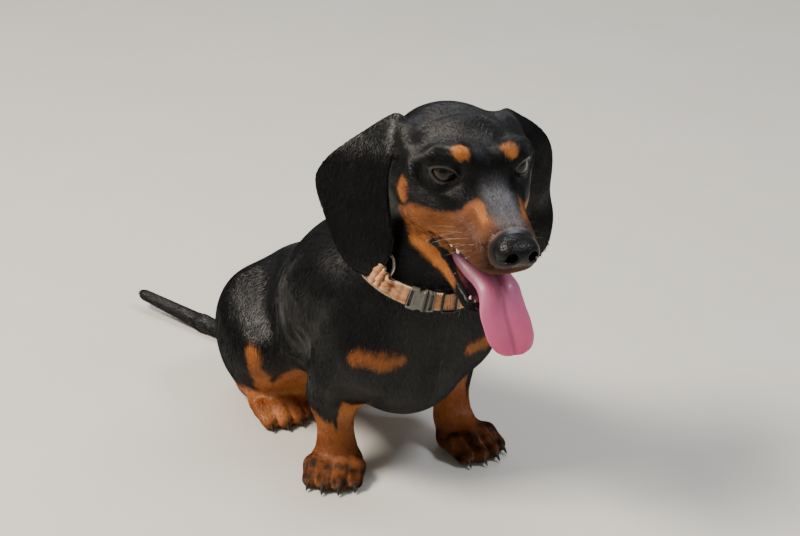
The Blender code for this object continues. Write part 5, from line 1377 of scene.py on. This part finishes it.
def through(values, t):
    """A smooth curve through equally spaced values, at t from 0 to 1."""
    p = np.asarray(values, float)
    if p.ndim == 1:
        p = p[:, None]
    x = np.clip(t, 0, 1) * (len(p) - 1)
    i = np.clip(x.astype(int), 0, len(p) - 2)
    s = (x - i)[:, None]
    a, b, c, d = (p[np.clip(i + k, 0, len(p) - 1)] for k in (-1, 0, 1, 2))
    return 0.5 * (2 * b + (c - a) * s + (2 * a - 5 * b + 4 * c - d) * s**2 + (3 * b - a - 3 * c + d) * s**3)


def closed_tube(rings, closed=False):
    """Quads of rings of points, (rings, around, 3), with a point in the middle of each end unless it is a loop."""
    count, around = rings.shape[:2]
    points = rings.reshape(-1, 3)
    i, k = np.meshgrid(np.arange(count if closed else count - 1), np.arange(around), indexing="ij")
    a, b = (i * around + k).ravel(), (i * around + (k + 1) % around).ravel()
    ahead = ((i + 1) % count * around + k).ravel(), ((i + 1) % count * around + (k + 1) % around).ravel()
    quads = np.stack([a, b, ahead[1], ahead[0]], 1)
    if closed:
        return points, quads, None
    n = len(points)
    points = np.concatenate([points, rings[:1].mean(1), rings[-1:].mean(1)])
    k = np.arange(around)
    last = (count - 1) * around
    tris = np.concatenate([np.stack([(k + 1) % around, k, np.full(around, n)], 1),
                           np.stack([last + k, last + (k + 1) % around, np.full(around, n + 1)], 1)])
    return points, quads, tris


def outward(obj):
    """Turns all faces of closed pieces outwards."""
    work = bmesh.new()
    work.from_mesh(obj.data)
    bmesh.ops.recalc_face_normals(work, faces=work.faces)
    work.to_mesh(obj.data)
    return obj


# Tongue
# A broad wet muscle that lolls over the lower front teeth and hangs to the dog's left, grooved down the middle,
# its sides a little raised, its surface velvety with papillae.
AROUND, LENGTHS = 56, 130
t = np.linspace(0, 1, LENGTHS)
line = through(TONGUE, t)
way = np.gradient(line, axis=0)
way /= np.linalg.norm(way, axis=1, keepdims=True)
half, thick = through(TONGUE_HALF, t), through(TONGUE_THICK, t)
a = np.linspace(0, 2 * np.pi, AROUND + 1)[:-1]
across = np.sign(np.cos(a)) * np.abs(np.cos(a)) ** 0.85
x = half * across * (1 + 0.012 * np.sin(t * 23)[:, None])
z = thick * np.sin(a)
upper = np.clip(np.sin(a), 0, 1)
z = z - 0.0013 * np.exp(-((x / 0.0022) ** 2)) * upper + 0.0007 * np.exp(-(((np.abs(x) - half * 0.62) / 0.0040) ** 2)) * upper
z = z + 0.0006 * (across**2) * np.sin(t * 9.0 + 1)[:, None]
end = np.sqrt(np.clip(1 - np.clip((t - 0.985) / 0.015, 0, 1) ** 2, 0.02, 1))[:, None]
up = np.stack([np.zeros(LENGTHS), -way[:, 2], way[:, 1]], 1)
up /= np.linalg.norm(up, axis=1, keepdims=True)
rings = line[:, None, :] + x[..., None] * end[..., None] * np.array([1.0, 0, 0]) + (z * end)[..., None] * up[:, None, :]
points, quads, tris = closed_tube(from_head(rings))
flesh_look, tree, shader = surface("wet_tongue", Roughness=0.42, Coat_Weight=0.20, Coat_Roughness=0.20,
                                   Subsurface_Weight=0.18, Subsurface_Scale=0.004)
shader.inputs["Subsurface Radius"].default_value = (1.0, 0.35, 0.3)
along = add(tree, "Attribute", attribute_name="along")
split = add(tree, "SeparateColor", {"Color": along.outputs["Color"]})
lengthwise = add(tree, "ValToRGB", {"Fac": split.outputs["Red"]})
ramp = lengthwise.color_ramp
ramp.elements[0].position, ramp.elements[0].color = 0.25, linear("#85455e")
ramp.elements[1].position, ramp.elements[1].color = 1.0, linear("#c8386c")
ramp.elements.new(0.55).color = linear("#c25a88")
ramp.elements.new(0.75).color = linear("#d04f80")
where = add(tree, "TexCoord")
cloud = add(tree, "TexNoise", {"Vector": where.outputs["Object"], "Scale": 110.0, "Detail": 4.0})
# painted shade: the colour darkens along the middle groove
groove_shade = add(tree, "MixRGB", {"Fac": split.outputs["Green"], "Color1": lengthwise.outputs["Color"],
                              "Color2": linear("#9a3f5c")})
mottled = add(tree, "MixRGB", {"Fac": 0.22, "Color1": groove_shade.outputs["Color"], "Color2": linear("#e0a3b4")})
tree.links.new(cloud.outputs["Fac"], mottled.inputs["Fac"])
soft = add(tree, "MixRGB", {"Fac": 0.16, "Color1": groove_shade.outputs["Color"], "Color2": mottled.outputs["Color"]})
tree.links.new(soft.outputs["Color"], shader.inputs["Base Color"])
papillae = add(tree, "TexVoronoi", {"Vector": where.outputs["Object"], "Scale": 1500.0})
bumps = add(tree, "Bump", {"Height": papillae.outputs["Distance"], "Strength": 0.35, "Distance": 0.0003}, invert=True)
tree.links.new(bumps.outputs["Normal"], shader.inputs["Normal"])
obj = outward(shaped("lolling_tongue", points, quads=quads, tris=tris, material=flesh_look))
# the mask of the painted shade in the middle groove
middle_line = np.exp(-((x / 0.0013) ** 2)) * upper * 0.8
columns = [np.repeat(t, AROUND), middle_line.ravel(), np.zeros(LENGTHS * AROUND), np.ones(LENGTHS * AROUND)]
paint(obj, "along", [np.concatenate([c, [c[0], c[-1]]]) for c in columns])
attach(obj, "root")
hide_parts("tongue")


# Teeth
# Milk-white enamel: curved canines, small incisors between them and low pointed cheek teeth, rooted in the gums.
UPPER_TEETH = [(0.0118, 0.0640, 0.0046, 0.0017), (0.0135, 0.0555, 0.0024, 0.0014), (0.0148, 0.0480, 0.0026, 0.0017),
               (0.0165, 0.0395, 0.0030, 0.0020), (0.0052, 0.0692, 0.0024, 0.0013), (0.0016, 0.0702, 0.0020, 0.0012),
               (0.0084, 0.0672, 0.0026, 0.0013), (0.0172, 0.0320, 0.0026, 0.0020)]
LOWER_TEETH = [(0.0080, 0.0610, 0.0044, 0.0016), (0.0100, 0.0520, 0.0022, 0.0013), (0.0118, 0.0440, 0.0024, 0.0016),
               (0.0138, 0.0350, 0.0028, 0.0018), (0.0030, 0.0645, 0.0020, 0.0011), (0.0052, 0.0632, 0.0020, 0.0011),
               (0.0150, 0.0270, 0.0026, 0.0019)]


def crown(base, tip, wide, back, around=12, rings=9):
    """A cone whose radius falls as the square root towards its tip, bent back along its height."""
    t = np.linspace(0, 1, rings)
    base, tip, back = (np.asarray(c, float) for c in (base, tip, back))
    line = base + (tip - base) * t[:, None] + back * (t * (1 - t))[:, None] * 1.2
    r = wide * np.sqrt(np.clip(1 - t**1.6, 0.004, 1))
    way = (tip - base) / np.linalg.norm(tip - base)
    side = np.cross(way, [0.3, 0.9, 0.1])
    side /= np.linalg.norm(side)
    other = np.cross(way, side)
    a = np.linspace(0, 2 * np.pi, around + 1)[:-1]
    ring = np.cos(a)[:, None] * side * 0.8 + np.sin(a)[:, None] * other
    return line[:, None, :] + r[:, None, None] * ring


def joined(name, tubes, material):
    """Several closed tubes in one mesh."""
    points, quads, tris, count = [], [], [], 0
    for rings in tubes:
        p, q, t = closed_tube(rings)
        points.append(p)
        quads.append(q + count)
        tris.append(t + count)
        count += len(p)
    return outward(shaped(name, np.concatenate(points), np.concatenate(quads), np.concatenate(tris), material))


tubes = []
for side in (1, -1):
    for x, y, tall, wide in UPPER_TEETH:
        lip = float(stations(np.array([y]), MUZZLE_AT, MUZZLE_LIP)[0])
        base = from_head([x * side, y, lip + 0.0085])
        tip = from_head([x * side * 0.98, y + 0.0002, lip + 0.0060 - tall])
        tubes.append(crown(base, tip, wide, from_head([0, 0.003, 0]) - from_head([0, 0, 0])))
    for x, y, tall, wide in LOWER_TEETH:
        top = float(stations(np.array([y]), JAW_AT, JAW_TOP)[0])
        base = from_head(from_jaw([x * side, y, top - 0.0065]))
        tip = from_head(from_jaw([x * side, y - 0.0004, top - 0.0042 + tall * 0.9]))
        tubes.append(crown(base, tip, wide, from_head([0, 0.002, 0]) - from_head([0, 0, 0])))
enamel, tree, shader = surface("tooth_enamel", Roughness=0.18, Coat_Weight=0.3, Subsurface_Weight=0.1,
                               Subsurface_Scale=0.002)
where = add(tree, "TexCoord")
stain = add(tree, "TexNoise", {"Vector": where.outputs["Object"], "Scale": 260.0, "Detail": 2.0})
tint = add(tree, "MixRGB", {"Fac": stain.outputs["Fac"], "Color1": linear("#efe8d8"), "Color2": linear("#d9cbae")})
tree.links.new(tint.outputs["Color"], shader.inputs["Base Color"])
obj = joined("teeth", tubes, enamel)
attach(obj, "root")
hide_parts("head", "lower_jaw")


# Whiskers
# Stiff tapered bristles from the whisker bed and chin, pale against the dark muzzle.
def bristle(root, way, long, sag, wide=0.00008, around=4, rings=8):
    """A thin cone along a parabola: straight out at the root and bent over by sag at the tip."""
    t = np.linspace(0, 1, rings)
    line = root + way * (t * long)[:, None] + sag * (t**2)[:, None]
    r = wide * (1 - 0.85 * t)
    side = np.cross(way, [0.2, 0.1, 1.0])
    side /= np.linalg.norm(side)
    other = np.cross(way, side)
    a = np.linspace(0, 2 * np.pi, around + 1)[:-1]
    return line[:, None, :] + r[:, None, None] * (np.cos(a)[:, None] * side + np.sin(a)[:, None] * other)


chance = np.random.default_rng(5)
tubes = []
for side in (1, -1):
    for row in range(3):
        for k in range(4):
            f = 0.064 - 0.0068 * k - 0.001 * row
            u = -0.0115 - 0.0042 * row
            half = float(stations(np.array([f]), MUZZLE_AT, MUZZLE_HALF)[0])
            root = from_head([(half + 0.0002) * side, f, u])
            way = from_head([side * 0.8, -0.45 - 0.10 * k, -0.10 - 0.12 * row]) - from_head([0, 0, 0])
            way += chance.normal(0, 0.10, 3)
            way /= np.linalg.norm(way)
            long = 0.011 + 0.0028 * k + chance.uniform(-0.002, 0.003)
            tubes.append(bristle(root - way * 0.0015, way, long, np.array([0, 0.0, -0.0035]) * (long / 0.02)))
    for k in range(4):
        root = from_head(from_jaw([0.0100 * side, 0.060 - 0.008 * k, -0.0315]))
        way = from_head([side * 0.35, 0.25, -0.9]) - from_head([0, 0, 0]) + chance.normal(0, 0.12, 3)
        way /= np.linalg.norm(way)
        tubes.append(bristle(root - way * 0.001, way, chance.uniform(0.006, 0.010), np.array([0, 0, -0.001])))
whisker_look, tree, shader = surface("pale_whisker", Roughness=0.35)
where = add(tree, "TexCoord")
tone = add(tree, "TexNoise", {"Vector": where.outputs["Object"], "Scale": 80.0})
tint = add(tree, "MixRGB", {"Fac": tone.outputs["Fac"], "Color1": linear("#d9d4cb"), "Color2": linear("#6f6a66")})
tree.links.new(tint.outputs["Color"], shader.inputs["Base Color"])
obj = joined("whiskers", tubes, whisker_look)
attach(obj, "root")
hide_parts("head", "lower_jaw")


# Claws
# Short dark horn, curved down, flattened at the sides, one from each toe.
CLAW = (0.0068, 0.0019)
tubes = []
feet = [(FORELEG[1][1], FORELEG[1][2], 1), (FORELEG[-1][1], FORELEG[-1][2], -1), (PASTERN, HIND_TOE, 1), (PASTERN, HIND_TOE, -1)]
for wrist, toe, side in feet:
    for root, knuckle, tip in toe_lines(wrist, toe)[0]:
        root, tip = (np.array([c[0] * side, c[1], c[2]]) for c in (root, tip))
        ahead = tip - root
        ahead[2] = 0
        ahead /= np.linalg.norm(ahead)
        t = np.linspace(0, 1, 14)
        line = tip + ahead * (0.0012 + CLAW[0] * 1.02 * t)[:, None]
        line[:, 2] = np.maximum(tip[2] + 0.0010 - 0.0002 * t - 0.0052 * t**2, 0.0006)
        r = CLAW[1] * np.sqrt(np.clip(1 - t**2.4, 0.02, 1))
        side_way = np.array([-ahead[1], ahead[0], 0])
        a = np.linspace(0, 2 * np.pi, 15)[:-1]
        ring = np.cos(a)[:, None] * side_way * 0.78 + np.sin(a)[:, None] * np.array([0, 0, 1.0])
        rings = line[:, None, :] + r[:, None, None] * ring
        rings[..., 2] = np.maximum(rings[..., 2], 0.0002)
        tubes.append(rings)
horn, tree, shader = surface("dark_claw_horn", Roughness=0.34)
where = add(tree, "TexCoord")
grain = add(tree, "TexNoise", {"Vector": where.outputs["Object"], "Scale": 420.0, "Detail": 3.0})
tint = add(tree, "MixRGB", {"Fac": grain.outputs["Fac"], "Color1": linear("#0e0c0c"), "Color2": linear("#3a332e")})
tree.links.new(tint.outputs["Color"], shader.inputs["Base Color"])
bumps = add(tree, "Bump", {"Height": grain.outputs["Fac"], "Strength": 0.2, "Distance": 0.0002})
tree.links.new(bumps.outputs["Normal"], shader.inputs["Normal"])
obj = joined("claws", tubes, horn)
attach(obj, "root")
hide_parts("forepaw_left", "forepaw_right", "hindpaw_left", "hindpaw_right")


# Collar
# Peach nylon webbing, 14 mm wide, ribbed across, round the neck under the ears, closed by a grey side-release
# buckle on the dog's right front. Its end is bunched beside the buckle; a dark slide adjusts it, and a wire D
# for a lead stands at its side.


def neck_radius(angle, height):
    """How far the flesh reaches from the collar's middle, at an angle from its front towards the left."""
    angle, height = np.broadcast_arrays(np.asarray(angle, float), np.asarray(height, float))
    way = np.cos(angle)[..., None] * COLLAR_FRONT + np.sin(angle)[..., None] * np.array([1.0, 0, 0])
    start = np.array(COLLAR_AT) + height[..., None] * COLLAR_UP
    low, high = np.full(angle.shape, 0.010), np.full(angle.shape, 0.090)
    for _ in range(22):
        middle = (low + high) / 2
        inside = flesh((start + way * middle[..., None]).astype(REAL)) < 0
        low, high = np.where(inside, middle, low), np.where(inside, high, middle)
    return low


FIT = 0.0006
RING = np.radians(np.arange(0, 360, 5.0))


def collar_fit():
    """The strap's inner radius at its lower and upper edge, smoothed round the neck."""
    rows = np.stack([neck_radius(RING, h) for h in (-STRAP[0] / 2, 0, STRAP[0] / 2)])
    for _ in range(4):
        rows = np.maximum(rows, (np.roll(rows, 1, 1) + np.roll(rows, -1, 1)) / 2)
    low, middle, high = rows
    out = np.maximum(middle - (low + high) / 2, 0)
    return low + out + FIT, high + out + FIT


LOW_FIT, HIGH_FIT = collar_fit()


def on_strap(angle, height, out):
    """Places on the collar, for whole arrays of angles, heights and distances out."""
    angle, height, out = np.broadcast_arrays(*[np.asarray(v, float) for v in (angle, height, out)])
    a = np.radians(angle)
    at = np.mod(a, 2 * np.pi)
    low = np.interp(at, np.append(RING, 2 * np.pi), np.append(LOW_FIT, LOW_FIT[0]))
    high = np.interp(at, np.append(RING, 2 * np.pi), np.append(HIGH_FIT, HIGH_FIT[0]))
    r = low + (high - low) * (height / STRAP[0] + 0.5)
    tilt = (high - low) / STRAP[0]
    length = np.sqrt(1 + tilt**2)
    way = np.cos(a)[..., None] * COLLAR_FRONT + np.sin(a)[..., None] * np.array([1.0, 0, 0])
    return np.array(COLLAR_AT) + way * (r + out / length)[..., None] + COLLAR_UP * (height - out * tilt / length)[..., None]


def measured(obj, u, v):
    """A UV map in millimetres along and across, for the weave."""
    layer = obj.data.uv_layers.new(name="UVMap")
    index = np.empty(len(obj.data.loops), np.int32)
    obj.data.loops.foreach_get("vertex_index", index)
    layer.data.foreach_set("uv", np.stack([np.ravel(u)[index], np.ravel(v)[index]], 1).astype(REAL).ravel())


BUCKLE = (-47.5, -28.0)
BUCKLE_SIZE = (0.0126, 0.0050)
SPLIT = -34.5
RIB = 0.0016

# nylon webbing, woven: heavy ribs across it, each of fine floats 0.4 mm wide, dull with a slight sheen
webbing, tree, shader = surface("ribbed_nylon_webbing", Roughness=0.72, Sheen_Weight=0.35, Sheen_Roughness=0.4)
shader.inputs["Sheen Tint"].default_value = linear("#ffe6cf")
place = add(tree, "UVMap", uv_map="UVMap")
split = add(tree, "SeparateXYZ", {"Vector": place.outputs["UV"]})
floats = add(tree, "TexWave", {"Vector": place.outputs["UV"], "Scale": 0.80, "Distortion": 0.6, "Detail Scale": 2.0},
             bands_direction="Y")
ribs = add(tree, "TexWave", {"Vector": place.outputs["UV"], "Scale": 0.314 / (RIB * 1000), "Distortion": 0.4},
           bands_direction="X")
height = add(tree, "Math", {0: floats.outputs["Fac"], 1: 0.35, 2: ribs.outputs["Fac"]}, operation="MULTIPLY_ADD")
weave = add(tree, "Bump", {"Height": height.outputs[0], "Strength": 0.5, "Distance": 0.0004})
tree.links.new(weave.outputs["Normal"], shader.inputs["Normal"])
worn = add(tree, "TexNoise", {"Vector": place.outputs["UV"], "Scale": 0.35, "Detail": 3.0})
base = add(tree, "ValToRGB", {"Fac": worn.outputs["Fac"]})
base.color_ramp.elements[0].position, base.color_ramp.elements[0].color = 0.35, linear("#c38457")
base.color_ramp.elements[1].position, base.color_ramp.elements[1].color = 0.65, linear("#dcaa80")
edge = add(tree, "Math", {0: split.outputs["Y"], 1: 3.9}, operation="SUBTRACT")
far_edge = add(tree, "Math", {0: 0.0, 1: split.outputs["Y"]}, operation="SUBTRACT")
low_edge = add(tree, "Math", {0: far_edge.outputs[0], 1: 3.9}, operation="SUBTRACT")
either = add(tree, "Math", {0: edge.outputs[0], 1: low_edge.outputs[0]}, operation="MAXIMUM")
cream = add(tree, "MapRange", {"Value": either.outputs[0], "From Min": 0.0, "From Max": 1.2})
pale_edge = add(tree, "MixRGB", {"Fac": cream.outputs[0], "Color1": base.outputs["Color"], "Color2": linear("#e8cfae")})
# painted shade: the valleys between the ribs are darkened to brown
between = add(tree, "MapRange", {"Value": ribs.outputs["Fac"], "From Min": 0.0, "From Max": 0.5, "To Min": 0.45,
                                 "To Max": 0.0})
shaded = add(tree, "MixRGB", {"Fac": between.outputs[0], "Color1": pale_edge.outputs["Color"], "Color2": linear("#7d4a2c")})
# the recesses of its pleats are darkened red-brown: painted shade
pleat = add(tree, "Attribute", attribute_name="recess")
pleat_depth = add(tree, "SeparateColor", {"Color": pleat.outputs["Color"]})
pleat_shade = add(tree, "MixRGB", {"Fac": pleat_depth.outputs["Red"], "Color1": shaded.outputs["Color"],
                              "Color2": linear("#6f2f1b")})
tree.links.new(pleat_shade.outputs["Color"], shader.inputs["Base Color"])

# the strap: a slim section with rounded selvedges carried round the neck, its outer face in ribs
angle = np.linspace(BUCKLE[1] - 1.2, 360 + BUCKLE[0] + 1.2, 900)
centre = on_strap(angle, 0, STRAP[1])
run = np.concatenate([[0], np.cumsum(np.linalg.norm(np.diff(centre, axis=0), axis=1))])
h = np.concatenate([np.linspace(-1, 1, 13), np.linspace(1, -1, 5)])
outer = np.concatenate([np.ones(13), np.zeros(5)])
rim = np.sqrt(np.clip(1 - np.clip((np.abs(h) - 0.88) / 0.12, 0, 1) ** 2, 0, 1))
ribbed = 1 + 0.13 * np.sin(run / RIB * 2 * np.pi)[:, None] * (np.abs(h) < 0.86)
out = 0.5 * STRAP[1] + (outer - 0.5) * rim * STRAP[1] * np.where(outer > 0, ribbed, 1.0)
rings = on_strap(angle[:, None], h * STRAP[0] / 2, out)
points, quads, tris = closed_tube(rings)
obj = outward(shaped("collar_webbing", points, quads=quads, tris=tris, material=webbing))
u, v = np.repeat(run * 1000, len(h)), np.tile(h * STRAP[0] / 2 * 1000, len(run))
measured(obj, np.append(u, [u[0], u[-1]]), np.append(v, [0, 0]))
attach(obj, "root")
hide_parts("collar_band")

# the bunched end: the same webbing folded over itself, creased and gathered towards the buckle
FOLD = [(-77.5, 0.0046, 0.0044), (-76.5, 0.0084, 0.0046), (-73.5, 0.0100, 0.0044), (-71.8, 0.0062, 0.0042),
        (-69.6, 0.0100, 0.0040), (-67.4, 0.0060, 0.0034), (-64.6, 0.0092, 0.0026), (-61.0, 0.0058, 0.0018),
        (-56.0, 0.0048, 0.0008), (-52.0, 0.0038, 0.0002), (-48.6, 0.0030, 0)]
t = np.linspace(0, 1, 150)
path = through(FOLD, t)
fold_angle, fold_out, fold_height = path.T
h = np.concatenate([np.linspace(-1, 1, 25), np.linspace(1, -1, 25)])
face = np.concatenate([np.ones(25), -np.ones(25)])
gather = 1 + 0.22 * np.exp(-(((t - 0.22) / 0.16) ** 2)) - 0.26 * np.exp(-(((t - 0.66) / 0.09) ** 2))
crease = 0.0010 * np.sin(h * 4.2 + t[:, None] * 5) + 0.0006 * np.sin(h * 9.0 - t[:, None] * 7)
crease *= np.sin(np.pi * np.clip(t, 0.02, 0.98))[:, None]
rim = np.sqrt(np.clip(1 - np.clip((np.abs(h) - 0.90) / 0.10, 0, 1) ** 2, 0, 1))
sway = fold_height + 0.0004 * np.sin(t * 9)
run_a, run_o = np.gradient(np.radians(fold_angle) * 0.046), np.gradient(fold_out)
size = np.hypot(run_a, run_o)
lean = (-run_o / size)[:, None] * face * rim * 0.0009
away = (run_a / size)[:, None] * face * rim * 0.0009
rings = on_strap(fold_angle[:, None] + np.degrees(lean / 0.046),
                 h * STRAP[0] * 0.47 * gather[:, None] + sway[:, None], fold_out[:, None] + away + crease)
points, quads, tris = closed_tube(rings)
obj = outward(shaped("bunched_webbing", points, quads=quads, tris=tris, material=webbing))
run = np.concatenate([[0], np.cumsum(np.hypot(np.diff(np.radians(fold_angle) * 0.046), np.diff(fold_out)))]) * 280
u, v = np.repeat(run, 50), np.tile(h * STRAP[0] * 470, 150)
measured(obj, np.append(u, [u[0], u[-1]]), np.append(v, [0, 0]))
# painted shade: the deeper the pleat lies towards the bunched loops, the darker red-brown it is
recess = smooth_step((0.0088 - fold_out - (crease * face).T) / 0.0030) * smooth_step((-59.0 - fold_angle) / 4.0)
recess = np.append(0.85 * recess.T.ravel(), [0.5, 0.0])
paint(obj, "recess", [recess, recess, recess, np.ones(len(recess))])
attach(obj, "root")
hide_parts("collar_fold")


def plate(name, angles, half_height, top, material, rows=61, columns=97):
    """A moulded plate on the neck: a face raised by a height formula, a flat back, and the wall between them."""
    a = np.linspace(0, 1, columns)
    b = np.linspace(-1, 1, rows)
    s, w = np.meshgrid(a, b, indexing="ij")
    tall = half_height(s)
    face = on_strap(angles[0] + (angles[1] - angles[0]) * s, w * tall, top(s, w, tall))
    back = on_strap(angles[0] + (angles[1] - angles[0]) * s, w * tall, np.full(s.shape, 0.0004))
    points = np.concatenate([face.reshape(-1, 3), back.reshape(-1, 3)])
    n = rows * columns
    quads = sheet_of_points(columns, rows)
    edge = np.concatenate([np.arange(rows), np.arange(1, columns) * rows + rows - 1,
                           (columns - 1) * rows + np.arange(rows - 2, -1, -1), np.arange(columns - 2, 0, -1) * rows])
    after = np.roll(edge, -1)
    wall = np.stack([edge, after, after + n, edge + n], 1)
    obj = shaped(name, points, quads=np.concatenate([quads, quads[:, ::-1] + n, wall]), material=material)
    return outward(obj)


def rounded(distance, radius, tall):
    """A height that falls off in a quarter circle within radius of an edge."""
    x = np.clip(distance / radius, 0, 1)
    return tall - radius * (1 - np.sqrt(np.clip(1 - (1 - x) ** 2, 0, 1)))


# grey acetal, injection moulded: satin, with a fine mottle of scuffs in its colour, roughness and surface
acetal, tree, shader = surface("moulded_grey_acetal", Roughness=0.40)
where = add(tree, "TexCoord")
scuffs = add(tree, "TexNoise", {"Vector": where.outputs["Object"], "Scale": 520.0, "Detail": 4.0})
tint = add(tree, "ValToRGB", {"Fac": scuffs.outputs["Fac"]})
tint.color_ramp.elements[0].position, tint.color_ramp.elements[0].color = 0.30, linear("#5b5a54")
tint.color_ramp.elements[1].position, tint.color_ramp.elements[1].color = 0.75, linear("#6c6a63")
tree.links.new(tint.outputs["Color"], shader.inputs["Base Color"])
rough = add(tree, "MapRange", {"Value": scuffs.outputs["Fac"], "To Min": 0.30, "To Max": 0.55})
tree.links.new(rough.outputs[0], shader.inputs["Roughness"])
bumps = add(tree, "Bump", {"Height": scuffs.outputs["Fac"], "Strength": 0.08, "Distance": 0.0002})
tree.links.new(bumps.outputs["Normal"], shader.inputs["Normal"])

ARC = 0.046
TALL, THICK = BUCKLE_SIZE


def socket_half(s):
    """The housing's half height along it: full, with the finger notches of the side release near its mouth."""
    notch = np.exp(-(((s - 0.70) / 0.15) ** 4))
    return TALL / 2 * (1 - 0.16 * notch - 0.10 * np.clip((0.06 - s) / 0.06, 0, 1) ** 2)


def socket_top(s, w, tall):
    long = np.radians(SPLIT - BUCKLE[0]) * ARC
    from_edge = np.minimum(np.minimum(s, 1 - s) * long, (1 - np.abs(w)) * tall)
    h = rounded(from_edge, 0.0016, THICK)
    slot = blot(np.abs(s - 0.15) * long - 0.0008, 0.0005) * blot(np.abs(w) * tall - 0.0046, 0.0005)
    panel = blot(np.maximum(np.abs(s - 0.58) * long - 0.0022, np.abs(w) * tall - 0.0030), 0.0008)
    lip = blot(np.abs(s - 0.93) * long - 0.0003, 0.0004)
    return h - slot * (THICK - 0.0020) - panel * 0.0003 - lip * 0.0004


def plug_half(s):
    """The plug's half height: its shoulders fill the mouth, and its bar holds the strap."""
    return TALL / 2 * (0.90 + 0.06 * blot(s - 0.55, 0.2) - 0.08 * np.clip((s - 0.92) / 0.08, 0, 1) ** 2)


def plug_top(s, w, tall):
    long = np.radians(BUCKLE[1] - SPLIT) * ARC
    from_edge = np.minimum(np.minimum(s, 1 - s) * long, (1 - np.abs(w)) * tall)
    h = rounded(from_edge, 0.0013, THICK * 0.86)
    slot = blot(np.abs(s - 0.62) * long - 0.0008, 0.0005) * blot(np.abs(w) * tall - 0.0044, 0.0005)
    step = blot(s * long - 0.0011, 0.0004)
    return h - slot * (THICK * 0.86 - 0.0020) - step * 0.0011


for title, angles, halves, top, node in (("buckle_housing", (BUCKLE[0], SPLIT - 0.15), socket_half, socket_top, "buckle_socket"),
                                         ("buckle_prong_end", (SPLIT + 0.15, BUCKLE[1]), plug_half, plug_top, "buckle_plug")):
    obj = plate(title, angles, halves, top, acetal)
    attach(obj, "root")
    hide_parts(node)

# blackened steel, bent from wire and plate: dark, mottled with a fine patina
steel, tree, shader = surface("blackened_steel", Metallic=1.0, Roughness=0.34)
where = add(tree, "TexCoord")
patina = add(tree, "TexNoise", {"Vector": where.outputs["Object"], "Scale": 600.0, "Detail": 3.0})
tint = add(tree, "ValToRGB", {"Fac": patina.outputs["Fac"]})
tint.color_ramp.elements[0].position, tint.color_ramp.elements[0].color = 0.35, linear("#242326")
tint.color_ramp.elements[1].position, tint.color_ramp.elements[1].color = 0.75, linear("#4a4849")
tree.links.new(tint.outputs["Color"], shader.inputs["Base Color"])

# the slide: a rounded rectangle of flat wire, the strap passing through it; its radius swings round a small circle
SLIDE, SLIDE_WIRE = (-22.5, -9.5), 0.0008
t, a = np.meshgrid(np.linspace(0, 2 * np.pi, 161)[:-1], np.linspace(0, 2 * np.pi, 17)[:-1], indexing="ij")
x, y = (np.sign(f(t)) * np.abs(f(t)) ** 0.22 for f in (np.cos, np.sin))
wide = np.radians(SLIDE[1] - SLIDE[0]) / 2 * ARC
rings = on_strap(sum(SLIDE) / 2 + np.degrees((wide - 0.0008 + SLIDE_WIRE * np.cos(a)) * x / ARC),
                 (0.0056 + SLIDE_WIRE * np.cos(a)) * y, STRAP[1] + 0.0008 + SLIDE_WIRE * 0.8 * np.sin(a))
points, quads, _ = closed_tube(rings, closed=True)
obj = outward(shaped("strap_slide", points, quads=quads, material=steel))
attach(obj, "root")
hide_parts("strap_slider")

# the D: bright wire bent to a half circle, standing up from the strap
WIRE = 0.0010
path = [(-76 + np.degrees(np.cos(a) * 0.0078 / 0.046), 0.0085 + 0.0078 * np.sin(a))
        for a in np.radians(np.linspace(0, 180, 11))]
path += [(-76 + np.degrees(x / 0.046), h) for x, h in ((-0.0076, 0.0030), (-0.0060, 0.0014), (0, 0.0012),
                                                      (0.0060, 0.0014), (0.0076, 0.0030))]
points = np.array(path)
t = np.arange(160) * len(points) / 160
i = t.astype(int)
s = (t - i)[:, None]
a, b, c, d = (points[(i + k) % len(points)] for k in (-1, 0, 1, 2))
loop = 0.5 * (2 * b + (c - a) * s + (2 * a - 5 * b + 4 * c - d) * s**2 + (3 * b - a - 3 * c + d) * s**3)
centre = on_strap(loop[:, 0], loop[:, 1], STRAP[1] + WIRE + 0.0004)
along = np.roll(centre, -1, 0) - np.roll(centre, 1, 0)
along /= np.linalg.norm(along, axis=1, keepdims=True)
middle = centre.mean(0)
face = np.cross(centre[0] - middle, centre[60] - middle)
face /= np.linalg.norm(face)
side_way = np.cross(along, face)
side_way /= np.linalg.norm(side_way, axis=1, keepdims=True)
a = np.linspace(0, 2 * np.pi, 15)[:-1]
rings = centre[:, None, :] + WIRE * (np.cos(a)[:, None] * side_way[:, None, :] + np.sin(a)[:, None] * face)
points, quads, _ = closed_tube(rings, closed=True)
bright, tree, shader = surface("nickelled_wire", Metallic=1.0, Roughness=0.24)
where = add(tree, "TexCoord")
scratches = add(tree, "TexNoise", {"Vector": where.outputs["Object"], "Scale": 700.0, "Detail": 3.0})
tint = add(tree, "MixRGB", {"Fac": scratches.outputs["Fac"], "Color1": linear("#c9c8c4"), "Color2": linear("#8f8d88")})
tree.links.new(tint.outputs["Color"], shader.inputs["Base Color"])
obj = outward(shaped("lead_ring", points, quads=quads, material=bright))
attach(obj, "root")
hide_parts("collar_ring")


# Size
size = {"cad": [list(c) for c in cad_box], "visual": [list(c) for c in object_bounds()]}
